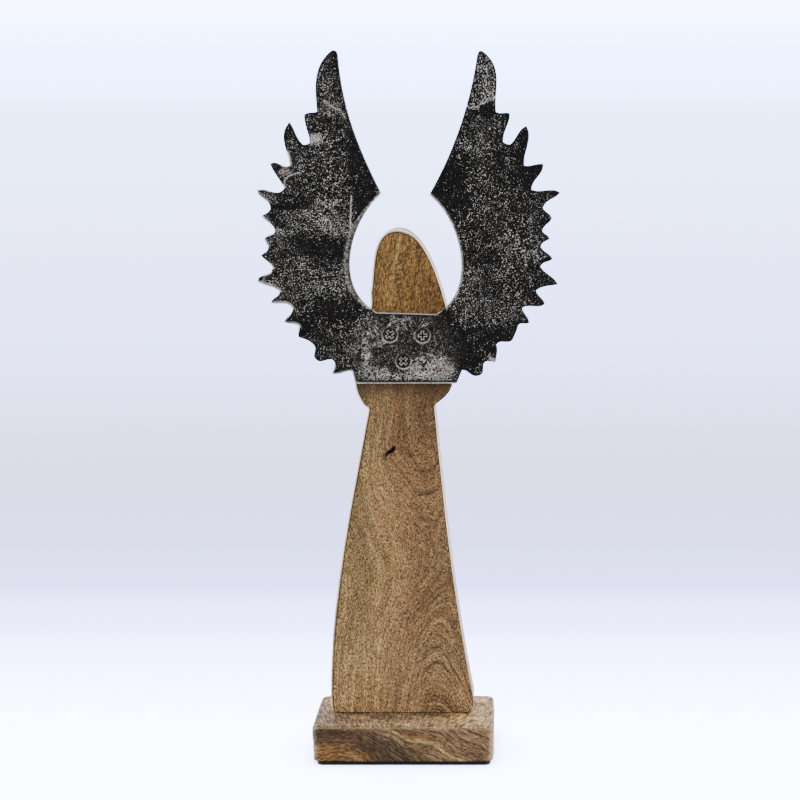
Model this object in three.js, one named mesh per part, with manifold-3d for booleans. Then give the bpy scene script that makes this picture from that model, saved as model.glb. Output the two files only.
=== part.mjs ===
// Standing angel: a flat board figure on a block plinth, with a cast metal
// pair of wings screwed to its back.
// Millimetres, +Z up. The wings' side faces -Y and the angel faces +Y.
// The origin is on the ground, midway across the wings' span and midway
// through the plinth's depth.

import * as THREE from 'three';
import { mergeVertices } from 'three/addons/utils/BufferGeometryUtils.js';
import Module from 'manifold-3d';

// ---------------------------------------------------------------- sizes

// felt sheet under the plinth
const PAD = { width: 95.4, depth: 58, thick: 2, cornerR: 3, centreX: -3.8 };

// plinth block: vertical corners, rounded top edge, small lower edge
const PLINTH = { width: 100, depth: 60, height: 20, cornerR: 4.5, topR: 3.2, footR: 1.2, centreX: -4.3 };
const PLINTH_TOP = PAD.thick + PLINTH.height;

// figure board
const BOARD_NEAR_Y = -4;      // face that carries the wings
const BOARD_THICK = 22;
const BOARD_EDGE_R = 2;

// figure outline, seen from the wings' side: each run is a cubic through
// [start], [handle], [handle], [end], as x and height above the ground
const FIGURE = {
  crownRight:    [[-6.4, 292.6], [8.4, 292.6], [16.5, 263.2], [19.5, 251.9]],
  shoulderRight: [[19.5, 251.9], [21.5, 241.0], [23.7, 230.1], [23.2, 219.3]],
  sleeveRight:   [[23.2, 219.3], [23.9, 207.5], [24.0, 204.0], [13.9, 197.0]],
  robeRight:     [[13.2, 195.4], [18.2, 138.2], [23.7, 84.5], [33.9, 31.0]],
  hemRight:      [[33.9, 31.0], [34.6, 27.0], [33.5, 22.2], [30.4, 22.0]],
  hemLeft:       [[-43.3, 22.0], [-45.3, 22.1], [-46.1, 24.0], [-46.0, 30.6]],
  robeLeft:      [[-46.0, 30.6], [-45.7, 85.8], [-33.8, 140.0], [-23.3, 194.3]],
  sleeveLeft:    [[-23.4, 195.1], [-31.4, 200.3], [-31.0, 211.9], [-30.7, 220.3]],
  shoulderLeft:  [[-30.7, 220.3], [-30.5, 231.5], [-23.6, 241.0], [-21.2, 251.6]],
  crownLeft:     [[-21.3, 258.7], [-19.1, 269.0], [-21.7, 292.5], [-6.4, 292.6]],
};
const FIGURE_STEPS = { crownRight: 18, shoulderRight: 6, sleeveRight: 10, robeRight: 16, hemRight: 5,
  hemLeft: 5, robeLeft: 16, sleeveLeft: 10, shoulderLeft: 8, crownLeft: 16 };

// dark slit of a small dead knot in the robe: centre, half sizes, lean
const KNOT = { x: -11.2, z: 170.6, halfLength: 3.9, halfWidth: 0.95, depth: 1.8, leanDeg: 40.5 };

// wing casting
const WING_THICK = 4.5;
const WING_NEAR_Y = BOARD_NEAR_Y - WING_THICK;

// One row for each feather, from the top blade down to the plate:
// [tip out, tip height, notch out, notch height,
//  bows of the edge down to the tip (near its start, near its end),
//  bows of the edge from the tip to the notch (near its start, near its end),
//  and where the notch has a floor, the far end of the floor]
// "out" is the distance from the middle of the span. A bow is a share of
// the edge's own length.
const FEATHERS = {
  left: [
    [39.8, 388.0, 48.3, 355.7, 0.00, 0.00, 0.26, 0.11],
    [55.2, 354.0, 52.4, 339.3, -0.05, 0.17, 0.07, -0.04, 56.2, 338.2],
    [63.2, 350.2, 63.3, 327.2, -0.11, 0.03, 0.29, 0.03],
    [73.9, 328.1, 66.4, 314.9, -0.27, 0.25, 0.06, -0.03],
    [81.3, 313.9, 74.1, 304.2, -0.36, 0.13, 0.18, -0.24],
    [78.9, 300.2, 71.9, 292.1, -0.22, -0.04, 0.10, -0.22],
    [77.2, 288.7, 75.7, 283.1, -0.28, 0.08, 0.33, -0.12],
    [79.7, 278.9, 73.6, 272.1, -0.26, 0.02, 0.05, -0.16],
    [81.8, 264.6, 69.9, 259.4, -0.36, 0.37, 0.04, -0.10],
    [74.8, 253.2, 63.0, 250.1, -0.19, 0.17, 0.03, -0.30],
    [68.1, 243.1, 60.2, 240.8, -0.20, 0.05, 0.14, -0.10],
    [60.1, 234.5, 51.4, 229.4, -0.21, 0.15, -0.08, -0.17],
    [51.9, 223.8, 42.1, 222.3, -0.13, 0.06, 0.48, -0.02],
    [42.2, 214.4, 31.3, 215.8, -0.48, 0.07, 0.13, -0.08],
  ],
  right: [
    [39.9, 387.7, 47.4, 355.5, 0.00, 0.00, 0.31, 0.03],
    [54.8, 354.7, 51.1, 339.7, -0.14, 0.11, 0.09, -0.10, 55.0, 338.4],
    [63.7, 348.2, 62.4, 327.0, -0.05, 0.18, 0.20, -0.06],
    [72.7, 327.9, 66.3, 314.2, -0.09, 0.08, 0.18, -0.15],
    [81.8, 312.7, 72.5, 304.5, -0.11, 0.17, 0.08, -0.20],
    [77.3, 298.7, 72.2, 292.2, -0.12, 0.20, 0.08, -0.16],
    [76.1, 287.8, 71.4, 283.7, -0.17, 0.22, -0.01, -0.27],
    [77.8, 277.0, 71.2, 272.8, -0.14, 0.11, 0.07, -0.24],
    [80.6, 263.2, 68.9, 259.9, -0.09, 0.13, -0.01, -0.15],
    [73.6, 252.5, 61.3, 250.3, -0.15, 0.14, 0.18, -0.16],
    [65.3, 242.5, 59.2, 241.0, -0.09, 0.09, 0.19, -0.26],
    [56.2, 233.2, 47.2, 230.3, 0.06, 0.01, 0.24, -0.28],
    [47.2, 221.3, 41.1, 220.9, 0.17, -0.02, 0.19, -0.22],
    [37.3, 213.3, 28.6, 216.5, -0.14, 0.46, 0.26, -0.15],
  ],
};
const EDGE_STEPS = 6;          // straight steps along a feather edge
const BLADE_STEPS = 14;        // along the long outer edge of the top blade
const INNER_STEPS = 16;        // along each inner arc

// inner edges from the blade's rounded tip to the cusp and round to the plate
const INNER = {
  left: {
    tip: [[39.8, 388.0], [38.4, 388.3], [37.3, 387.5], [36.9, 386.1]],
    blade: [[36.9, 386.1], [34.8, 357.8], [27.5, 338.1], [14.4, 312.1]],
    arc: [[14.4, 312.1], [32.0, 296.7], [41.5, 261.6], [17.8, 247.8]],
  },
  right: {
    tip: [[39.9, 387.7], [38.0, 387.8], [37.9, 387.1], [37.3, 385.5]],
    blade: [[37.3, 385.5], [33.5, 359.3], [24.5, 334.2], [11.3, 311.5]],
    arc: [[11.3, 311.5], [29.2, 297.2], [37.0, 260.0], [14.7, 246.8]],
  },
};
// lower corners of the plate between the wings
const PLATE_CORNER = { left: [29.8, 209.0], right: [25.6, 209.1] };

// wood screws with flat countersunk heads and a cross recess
const SCREW = { headR: 3.45, headSink: 0.6, shankR: 1.7, length: 16, pointLength: 4,
  recessSpan: 4.6, recessWidth: 0.95, recessDepth: 1.5, segments: 40 };
const SINK = { mouthR: 4.4, holeR: 2.1 };          // countersink in the plate, 90 degree cone
const PILOT = { r: 2.05, endGap: 0.4 };            // blind hole in the board
const SCREWS = [
  { name: 'screw_left', x: -10.5, z: 235.9, turnDeg: 36 },
  { name: 'screw_right', x: 7.2, z: 235.5, turnDeg: 2 },
  { name: 'screw_lower', x: -3.3, z: 221.4, turnDeg: 47 },
];

// -------------------------------------------------------------- finishes

const material = {
  plinth: new THREE.MeshStandardMaterial({ color: 0xa58a63, roughness: 0.62, metalness: 0 }),
  figure: new THREE.MeshStandardMaterial({ color: 0x96744a, roughness: 0.6, metalness: 0 }),
  felt: new THREE.MeshStandardMaterial({ color: 0x141311, roughness: 1, metalness: 0 }),
  casting: new THREE.MeshStandardMaterial({ color: 0x2b2a28, roughness: 0.55, metalness: 0.7 }),
  screw: new THREE.MeshStandardMaterial({ color: 0x161616, roughness: 0.45, metalness: 0.6 }),
};

// --------------------------------------------------------------- helpers

const wasm = await Module();
wasm.setup();

function toSolid(geometry) {
  const bare = geometry.clone();
  bare.deleteAttribute('normal');
  bare.deleteAttribute('uv');
  const welded = mergeVertices(bare, 1e-4);
  return new wasm.Manifold(new wasm.Mesh({
    numProp: 3,
    vertProperties: new Float32Array(welded.attributes.position.array),
    triVerts: new Uint32Array(welded.index.array),
  }));
}

function toGeometry(solid) {
  const mesh = solid.getMesh();
  const geometry = new THREE.BufferGeometry();
  geometry.setAttribute('position', new THREE.BufferAttribute(new Float32Array(mesh.vertProperties), 3));
  geometry.setIndex(new THREE.BufferAttribute(new Uint32Array(mesh.triVerts), 1));
  geometry.computeVertexNormals();
  return geometry;
}

const vec = (p) => new THREE.Vector2(p[0], p[1]);

// points of a cubic run, without its first point
function run(handles, steps) {
  const curve = new THREE.CubicBezierCurve(...handles.map(vec));
  return curve.getPoints(steps).slice(1);
}

// an edge from a to b whose two handles sit a third of the way in from each
// end and stand off the straight line by the two bows
function bowed(a, b, bowA, bowB, steps) {
  const dx = b[0] - a[0];
  const dz = b[1] - a[1];
  const handle = (share, bow) => [a[0] + dx * share - dz * bow, a[1] + dz * share + dx * bow];
  return run([a, handle(1 / 3, bowA), handle(2 / 3, bowB), b], steps);
}

// outer edge of one wing, from the tip of its blade down to the plate's
// corner, with x counted outwards
function featherEdge(rows, corner) {
  const points = [vec(rows[0])];
  let last = rows[0];
  rows.forEach((row, i) => {
    const tip = [row[0], row[1]];
    const notch = [row[2], row[3]];
    if (i > 0) points.push(...bowed(last, tip, row[4], row[5], EDGE_STEPS));
    points.push(...bowed(tip, notch, row[6], row[7], i > 0 ? EDGE_STEPS : BLADE_STEPS));
    last = notch;
    if (row.length > 8) {
      last = [row[8], row[9]];
      points.push(...bowed(notch, last, -0.1, -0.2, 3));
    }
  });
  points.push(vec(corner));
  return points;
}

// inner edge of one wing, from the blade's tip to the plate's top edge
function innerEdge(side) {
  return [...run(side.tip, 4), ...run(side.blade, INNER_STEPS), ...run(side.arc, INNER_STEPS)];
}

const mirrored = (points) => points.map((p) => new THREE.Vector2(-p.x, p.y));

// stands a flat shape up: its y becomes height, and it fills
// from nearY to nearY + thick
function standUp(geometry, nearY, thick) {
  geometry.rotateX(Math.PI / 2);
  geometry.translate(0, nearY + thick, 0);
  return geometry;
}

// a turned piece about a line along Y: profile rows are
// [distance in from the plate's face, radius]
function turned(profile, x, z, segments) {
  const points = profile.map(([depth, radius]) => new THREE.Vector2(radius, depth));
  const geometry = new THREE.LatheGeometry(points, segments);
  geometry.translate(x, WING_NEAR_Y, z);
  return geometry;
}

// a block with rounded corners, made of stacked rings: layers are
// [height, inset from the full outline]
function stackedBlock(width, depth, cornerR, layers, cornerSteps) {
  const ring = (inset) => {
    const r = Math.max(cornerR - inset, 0.3);
    const w = width / 2 - inset - r;
    const d = depth / 2 - inset - r;
    const points = [];
    [[w, d, 0], [-w, d, 1], [-w, -d, 2], [w, -d, 3]].forEach(([cx, cy, quarter]) => {
      for (let k = 0; k <= cornerSteps; k++) {
        const a = (quarter + k / cornerSteps) * Math.PI / 2;
        points.push([cx + r * Math.cos(a), cy + r * Math.sin(a)]);
      }
    });
    return points;
  };
  const n = 4 * (cornerSteps + 1);
  const position = [];
  const index = [];
  layers.forEach(([z, inset]) => ring(inset).forEach(([x, y]) => position.push(x, y, z)));
  for (let level = 0; level + 1 < layers.length; level++) {
    for (let k = 0; k < n; k++) {
      const a = level * n + k;
      const b = level * n + (k + 1) % n;
      index.push(a, b, b + n, a, b + n, a + n);
    }
  }
  const bottom = position.length / 3;
  position.push(0, 0, layers[0][0]);
  const top = bottom + 1;
  position.push(0, 0, layers[layers.length - 1][0]);
  const lastRing = (layers.length - 1) * n;
  for (let k = 0; k < n; k++) {
    index.push(bottom, (k + 1) % n, k);
    index.push(top, lastRing + k, lastRing + (k + 1) % n);
  }
  const geometry = new THREE.BufferGeometry();
  geometry.setAttribute('position', new THREE.Float32BufferAttribute(position, 3));
  geometry.setIndex(index);
  geometry.computeVertexNormals();
  return geometry;
}

// layers of a quarter-round edge, from inset 0 to inset r or back
function roundEdge(zStart, zEnd, insetStart, insetEnd, steps) {
  const rows = [];
  for (let k = 0; k <= steps; k++) {
    const a = (k / steps) * Math.PI / 2;
    const closing = insetEnd > insetStart;
    const s = closing ? Math.sin(a) : 1 - Math.cos(a);
    const c = closing ? 1 - Math.cos(a) : Math.sin(a);
    rows.push([zStart + (zEnd - zStart) * s, insetStart + (insetEnd - insetStart) * c]);
  }
  return rows;
}

// ---------------------------------------------------------------- pieces

const angel = new THREE.Group();

function add(name, geometry, finish, x = 0) {
  const mesh = new THREE.Mesh(geometry, finish);
  mesh.name = name;
  mesh.position.set(x, 0, 0);
  angel.add(mesh);
  return mesh;
}

// felt sheet
add('base_pad', stackedBlock(PAD.width, PAD.depth, PAD.cornerR, [[0, 0], [PAD.thick, 0]], 5),
  material.felt, PAD.centreX);

// plinth
const plinthLayers = [
  ...roundEdge(PAD.thick, PAD.thick + PLINTH.footR, PLINTH.footR, 0, 3),
  ...roundEdge(PLINTH_TOP - PLINTH.topR, PLINTH_TOP, 0, PLINTH.topR, 6),
];
add('base', stackedBlock(PLINTH.width, PLINTH.depth, PLINTH.cornerR, plinthLayers, 7),
  material.plinth, PLINTH.centreX);

// screw line: the pilot holes, the countersinks and the screws share it
const screwEnd = SCREW.headSink + SCREW.length;
function pilotCutter(x, z) {
  const depth = screwEnd + PILOT.endGap;
  return turned([[WING_THICK - 1, 0], [WING_THICK - 1, PILOT.r], [depth - 2, PILOT.r], [depth, 0]], x, z, 24);
}
function sinkCutter(x, z) {
  const cone = SINK.mouthR - SINK.holeR;
  return turned([[-1, 0], [-1, SINK.mouthR + 1], [cone, SINK.holeR], [WING_THICK + 1, SINK.holeR],
    [WING_THICK + 1, 0]], x, z, SCREW.segments);
}

// figure
const figureShape = new THREE.Shape();
figureShape.setFromPoints([
  vec(FIGURE.crownRight[0]),
  ...['crownRight', 'shoulderRight', 'sleeveRight'].flatMap((k) => run(FIGURE[k], FIGURE_STEPS[k])),
  vec(FIGURE.robeRight[0]),
  ...['robeRight', 'hemRight'].flatMap((k) => run(FIGURE[k], FIGURE_STEPS[k])),
  vec(FIGURE.hemLeft[0]),
  ...['hemLeft', 'robeLeft'].flatMap((k) => run(FIGURE[k], FIGURE_STEPS[k])),
  vec(FIGURE.sleeveLeft[0]),
  ...['sleeveLeft', 'shoulderLeft'].flatMap((k) => run(FIGURE[k], FIGURE_STEPS[k])),
  vec(FIGURE.crownLeft[0]),
  ...run(FIGURE.crownLeft, FIGURE_STEPS.crownLeft).slice(0, -1),
]);
const board = standUp(new THREE.ExtrudeGeometry(figureShape, {
  depth: BOARD_THICK - 2 * BOARD_EDGE_R,
  bevelEnabled: true,
  bevelThickness: BOARD_EDGE_R,
  bevelSize: BOARD_EDGE_R,
  bevelOffset: -BOARD_EDGE_R,
  bevelSegments: 4,
  curveSegments: 1,
}), BOARD_NEAR_Y + BOARD_EDGE_R, BOARD_THICK - 2 * BOARD_EDGE_R);
let figureSolid = toSolid(board);
SCREWS.forEach((s) => {
  figureSolid = figureSolid.subtract(toSolid(pilotCutter(s.x, s.z)));
});
const slit = new THREE.SphereGeometry(1, 20, 12);
slit.scale(KNOT.halfLength, KNOT.depth, KNOT.halfWidth);
slit.rotateY(-THREE.MathUtils.degToRad(KNOT.leanDeg));
slit.translate(KNOT.x, BOARD_NEAR_Y, KNOT.z);
figureSolid = figureSolid.subtract(toSolid(slit));
add('figure', toGeometry(figureSolid), material.figure);

// wings
const wingShape = new THREE.Shape();
wingShape.setFromPoints([
  ...mirrored(featherEdge(FEATHERS.left, PLATE_CORNER.left)),
  ...featherEdge(FEATHERS.right, PLATE_CORNER.right).reverse(),
  ...innerEdge(INNER.right),
  ...mirrored(innerEdge(INNER.left)).reverse(),
]);
const plate = standUp(new THREE.ExtrudeGeometry(wingShape, { depth: WING_THICK, bevelEnabled: false }),
  WING_NEAR_Y, WING_THICK);
let wingSolid = toSolid(plate);
SCREWS.forEach((s) => {
  wingSolid = wingSolid.subtract(toSolid(sinkCutter(s.x, s.z)));
});
add('wings', toGeometry(wingSolid), material.casting);

// screws
SCREWS.forEach((s) => {
  const neck = SCREW.headSink + SCREW.headR - SCREW.shankR;
  const body = toSolid(turned([
    [SCREW.headSink, 0],
    [SCREW.headSink, SCREW.headR],
    [neck, SCREW.shankR],
    [screwEnd - SCREW.pointLength, SCREW.shankR],
    [screwEnd, 0],
  ], s.x, s.z, SCREW.segments));
  const half = SCREW.recessSpan / 2;
  const w = SCREW.recessWidth / 2;
  const cross = new THREE.Shape();
  const corners = [];
  for (let q = 0; q < 4; q++) {
    const a = q * Math.PI / 2;
    [[half, -w], [half, w], [w, w]].forEach(([u, v]) => {
      corners.push(new THREE.Vector2(u * Math.cos(a) - v * Math.sin(a), u * Math.sin(a) + v * Math.cos(a)));
    });
  }
  cross.setFromPoints(corners);
  const arms = new THREE.ExtrudeGeometry(cross, { depth: SCREW.recessDepth + 1, bevelEnabled: false });
  arms.rotateZ(THREE.MathUtils.degToRad(s.turnDeg));
  standUp(arms, -1, SCREW.recessDepth + 1);
  arms.translate(s.x, WING_NEAR_Y + SCREW.headSink, s.z);
  const taper = turned([
    [SCREW.headSink - 1, 0],
    [SCREW.headSink - 1, half + 0.6],
    [SCREW.headSink + SCREW.recessDepth, 0.5],
    [SCREW.headSink + SCREW.recessDepth, 0],
  ], s.x, s.z, SCREW.segments);
  const recess = toSolid(arms).intersect(toSolid(taper));
  add(s.name, toGeometry(body.subtract(recess)), material.screw);
});

export default angel;
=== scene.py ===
import math

import bmesh
import bpy
import numpy as np
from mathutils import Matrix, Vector, geometry, kdtree


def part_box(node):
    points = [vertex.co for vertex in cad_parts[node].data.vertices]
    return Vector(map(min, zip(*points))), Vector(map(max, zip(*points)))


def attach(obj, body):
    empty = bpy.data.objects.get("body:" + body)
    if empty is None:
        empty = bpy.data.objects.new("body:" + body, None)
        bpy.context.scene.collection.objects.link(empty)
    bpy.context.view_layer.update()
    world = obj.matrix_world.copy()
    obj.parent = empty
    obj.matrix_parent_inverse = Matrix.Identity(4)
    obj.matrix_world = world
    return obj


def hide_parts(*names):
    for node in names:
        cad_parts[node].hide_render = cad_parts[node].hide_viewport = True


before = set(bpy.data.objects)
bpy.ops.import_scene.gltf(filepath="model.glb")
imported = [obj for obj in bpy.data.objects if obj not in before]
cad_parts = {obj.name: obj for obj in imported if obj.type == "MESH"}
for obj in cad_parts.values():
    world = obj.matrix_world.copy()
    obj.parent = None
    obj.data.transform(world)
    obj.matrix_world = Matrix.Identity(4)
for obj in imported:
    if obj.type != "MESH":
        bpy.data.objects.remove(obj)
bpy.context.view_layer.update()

# ------------------------------------------------------------------ sizes
# millimetres here, metres in the meshes

WING_NEAR, WING_FAR = -8.5, -4.0
WING_EDGE_R = 0.85
WING_GRID = 0.62
BOARD_NEAR, BOARD_FAR = -4.0, 18.0
BOARD_EDGE_R = 1.25
BOARD_GRID = 1.15
SCREWS = [("screw_left", -10.5, 235.9), ("screw_right", 7.2, 235.5), ("screw_lower", -3.3, 221.4)]
SINK_MOUTH_R, SINK_HOLE_R = 4.4, 2.1
KNOT = {"x": -11.2, "z": 170.6, "half": 4.2, "wide": 1.5, "deep": 2.0, "lean": 40.5}


# ------------------------------------------------------------------ noise

def noise2(x, z, seed):
    """smooth gradient noise, about -0.7 to 0.7"""
    rng = np.random.default_rng(seed)
    perm = rng.permutation(256)
    turn = rng.uniform(0.0, 2.0 * np.pi, 256)
    gx, gz = np.cos(turn), np.sin(turn)
    xi, zi = np.floor(x).astype(int), np.floor(z).astype(int)
    xf, zf = x - xi, z - zi

    def corner(i, j, dx, dz):
        h = perm[(perm[i & 255] + j) & 255]
        return gx[h] * dx + gz[h] * dz

    def fade(t):
        return t * t * t * (t * (t * 6 - 15) + 10)

    u, v = fade(xf), fade(zf)
    low = corner(xi, zi, xf, zf) * (1 - u) + corner(xi + 1, zi, xf - 1, zf) * u
    top = corner(xi, zi + 1, xf, zf - 1) * (1 - u) + corner(xi + 1, zi + 1, xf - 1, zf - 1) * u
    return low * (1 - v) + top * v


def fbm(x, z, size, octaves, seed, gain=0.5):
    total, amp = np.zeros_like(x), 1.0
    for k in range(octaves):
        total += amp * noise2(x / size + 17.3 * k, z / size - 9.1 * k, seed + k)
        size *= 0.5
        amp *= gain
    return total


def step(a, b, t):
    t = np.clip((t - a) / (b - a), 0.0, 1.0)
    return t * t * (3 - 2 * t)


def blob(x, z, cx, cz, rx, rz, lean=0.0, soft=0.5):
    """1 inside a soft ellipse, 0 outside it"""
    c, s = math.cos(math.radians(lean)), math.sin(math.radians(lean))
    u = ((x - cx) * c + (z - cz) * s) / rx
    v = (-(x - cx) * s + (z - cz) * c) / rz
    return 1.0 - step(1.0 - soft, 1.0 + soft, np.sqrt(u * u + v * v))


def stroke(x, z, points, width, soft=0.5):
    """1 on a line through the points, 0 beyond half its width"""
    best = np.full_like(x, 1e9)
    for (ax, az), (bx, bz) in zip(points[:-1], points[1:]):
        dx, dz = bx - ax, bz - az
        t = np.clip(((x - ax) * dx + (z - az) * dz) / (dx * dx + dz * dz), 0.0, 1.0)
        best = np.minimum(best, np.hypot(x - ax - t * dx, z - az - t * dz))
    half = width / 2
    return 1.0 - step(half * (1 - soft), half * (1 + soft), best)


# --------------------------------------------------------------- outlines

def loops_at(node, y):
    """closed outlines of a CAD node in the plane y, as (x, z) rows in mm"""
    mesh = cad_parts[node].data
    co = np.empty(len(mesh.vertices) * 3)
    mesh.vertices.foreach_get("co", co)
    co = np.round(co.reshape(-1, 3) * 1000.0, 3)
    ids, remap = {}, []
    for p in map(tuple, co):
        remap.append(ids.setdefault(p, len(ids)))
    pts = list(ids)
    flat, other = {}, {}
    for poly in mesh.polygons:
        ring = [remap[i] for i in poly.vertices]
        within = all(abs(pts[i][1] - y) < 0.02 for i in ring)
        for a, b in zip(ring, ring[1:] + ring[:1]):
            if a != b and abs(pts[a][1] - y) < 0.02 and abs(pts[b][1] - y) < 0.02:
                key = (min(a, b), max(a, b))
                pool = flat if within else other
                pool[key] = pool.get(key, 0) + 1
    near = {}
    for (a, b), n in other.items():
        if flat.get((a, b), 0) <= 1:
            near.setdefault(a, []).append(b)
            near.setdefault(b, []).append(a)
    loops, used = [], set()
    for start in near:
        if start in used:
            continue
        loop, prev, here = [start], None, start
        used.add(start)
        while True:
            ahead = [q for q in near[here] if q != prev and q not in used]
            if not ahead:
                break
            prev, here = here, ahead[0]
            used.add(here)
            loop.append(here)
        if len(loop) > 5:
            loops.append(np.array([[pts[i][0], pts[i][2]] for i in loop]))
    loops.sort(key=lambda p: -np.ptp(p[:, 1]))
    return [p if area(p) > 0 else p[::-1] for p in loops]


def area(p):
    q = np.roll(p, -1, axis=0)
    return 0.5 * float(np.sum(p[:, 0] * q[:, 1] - q[:, 0] * p[:, 1]))


def resample(p, spacing, corner_deg=33.0):
    """a closed outline as evenly spaced points on smooth runs between its corners"""
    back, ahead = p - np.roll(p, 1, axis=0), np.roll(p, -1, axis=0) - p
    turn = np.degrees(np.abs(np.angle(
        (ahead[:, 0] + 1j * ahead[:, 1]) / (back[:, 0] + 1j * back[:, 1]))))
    corners = list(np.nonzero(turn > corner_deg)[0]) or [0]
    out = []
    n = len(p)
    for a, b in zip(corners, corners[1:] + [corners[0] + n]):
        run = p[np.arange(a, b + 1) % n]
        t = np.concatenate([[0], np.cumsum(np.hypot(*np.diff(run, axis=0).T))])
        m = np.empty_like(run)
        m[1:-1] = (run[2:] - run[:-2]) / (t[2:] - t[:-2])[:, None] if len(run) > 2 else 0
        m[0] = (run[1] - run[0]) / (t[1] - t[0])
        m[-1] = (run[-1] - run[-2]) / (t[-1] - t[-2])
        steps = max(2, int(round(t[-1] / spacing)))
        s = np.linspace(0, t[-1], steps + 1)[:-1]
        k = np.clip(np.searchsorted(t, s, side="right") - 1, 0, len(run) - 2)
        h = (t[k + 1] - t[k])[:, None]
        f = ((s - t[k]) / (t[k + 1] - t[k]))[:, None]
        out.append((2 * f**3 - 3 * f**2 + 1) * run[k] + (f**3 - 2 * f**2 + f) * h * m[k]
                   + (-2 * f**3 + 3 * f**2) * run[k + 1] + (f**3 - f**2) * h * m[k + 1])
    return np.concatenate(out)


class Outline:
    """an outer loop and holes, with quick distance and inside tests"""

    def __init__(self, loops):
        self.loops = loops
        self.points = np.concatenate(loops)
        self.prev = np.concatenate([np.roll(p, 1, axis=0) for p in loops])
        self.next = np.concatenate([np.roll(p, -1, axis=0) for p in loops])
        self.tree = kdtree.KDTree(len(self.points))
        for i, (x, z) in enumerate(self.points):
            self.tree.insert((x, z, 0.0), i)
        self.tree.balance()

    def distance(self, q):
        near = np.array([self.tree.find((x, z, 0.0))[1] for x, z in q], dtype=int)
        best = np.full(len(q), 1e9)
        for other in (self.prev, self.next):
            a, d = self.points[near], other[near] - self.points[near]
            t = np.clip(np.sum((q - a) * d, 1) / np.sum(d * d, 1), 0, 1)
            best = np.minimum(best, np.hypot(*(q - a - t[:, None] * d).T))
        return best, near

    def inside(self, q):
        """crossing test against every loop"""
        hits = np.zeros(len(q), dtype=int)
        for p in self.loops:
            for (ax, az), (bx, bz) in zip(p, np.roll(p, -1, axis=0)):
                if az != bz:
                    over = (az > q[:, 1]) != (bz > q[:, 1])
                    hits += over & (q[:, 0] < ax + (q[:, 1] - az) * (bx - ax) / (bz - az))
        return hits % 2 == 1

    def grid(self, spacing):
        """staggered points inside the outline"""
        low, high = self.points.min(0), self.points.max(0)
        rows = []
        for k, z in enumerate(np.arange(low[1], high[1], spacing * 0.866) + 0.013):
            cross = []
            for p in self.loops:
                a, b = p, np.roll(p, -1, axis=0)
                hit = (a[:, 1] > z) != (b[:, 1] > z)
                cross.append(a[hit, 0] + (z - a[hit, 1]) * (b[hit, 0] - a[hit, 0]) / (b[hit, 1] - a[hit, 1]))
            cross = np.sort(np.concatenate(cross))
            xs = np.arange(low[0] + (k % 2) * spacing / 2, high[0], spacing)
            inside = np.searchsorted(cross, xs) % 2 == 1
            rows.append(np.stack([xs[inside], np.full(inside.sum(), z)], 1))
        return np.concatenate(rows)

    def rings(self, insets):
        """points at set distances inside the outline"""
        tangent = self.next - self.prev
        normal = np.stack([-tangent[:, 1], tangent[:, 0]], 1)
        normal /= np.maximum(np.hypot(*normal.T), 1e-9)[:, None]
        rows = []
        for inset in insets:
            q = self.points + normal * inset
            d, _ = self.distance(q)
            rows.append(q[d > 0.94 * inset])
        return np.concatenate(rows) if rows else np.zeros((0, 2))


def face(outline, spacing, insets, extra=None):
    """triangles over the inside of an outline: points, triangles, distances to the outline"""
    inner = outline.grid(spacing)
    d, _ = outline.distance(inner)
    inner = inner[d > insets[-1] + 0.4 * spacing]
    parts = [outline.points, outline.rings(insets), inner]
    if extra is not None:
        parts.append(extra)
    q = np.concatenate(parts)
    edges, start = [], 0
    for p in outline.loops:
        n = len(p)
        edges += [(start + i, start + (i + 1) % n) for i in range(n)]
        start += n
    res = geometry.delaunay_2d_cdt([Vector((float(x), float(z))) for x, z in q], edges, [], 0, 1e-5, False)
    pts = np.array([v[:] for v in res[0]])
    tris = np.array([t for t in res[2] if len(t) == 3], dtype=int)
    d, near = outline.distance(pts)
    # triangles that span only outline points may lie outside it or over a hole
    span = np.all(d[tris] < 1e-4, axis=1)
    keep = ~span
    keep[span] = outline.inside(pts[tris[span]].mean(1))
    tris = tris[keep]
    return pts, tris, d, near


def quarter(d, r):
    """how far a quarter-round edge falls back at a distance d from the outline"""
    k = np.clip(r - d, 0.0, r)
    return r - np.sqrt(np.maximum(r * r - k * k, 0.0))


def build(name, verts, tris, attributes, smooth_deg=38.0):
    """a mesh object in metres from mm points, with point attributes"""
    mesh = bpy.data.meshes.new(name)
    mesh.from_pydata((np.asarray(verts) * 0.001).tolist(), [], np.asarray(tris).tolist())
    for key, values in attributes.items():
        layer = mesh.attributes.new(key, "FLOAT", "POINT")
        layer.data.foreach_set("value", np.asarray(values, dtype=np.float32))
    bm = bmesh.new()
    bm.from_mesh(mesh)
    bmesh.ops.remove_doubles(bm, verts=bm.verts, dist=2e-6)
    bmesh.ops.recalc_face_normals(bm, faces=bm.faces)
    bm.to_mesh(mesh)
    bm.free()
    mesh.polygons.foreach_set("use_smooth", [True] * len(mesh.polygons))
    mesh.set_sharp_from_angle(angle=math.radians(smooth_deg))
    mesh.update()
    obj = bpy.data.objects.new(name, mesh)
    bpy.context.scene.collection.objects.link(obj)
    return obj


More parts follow.
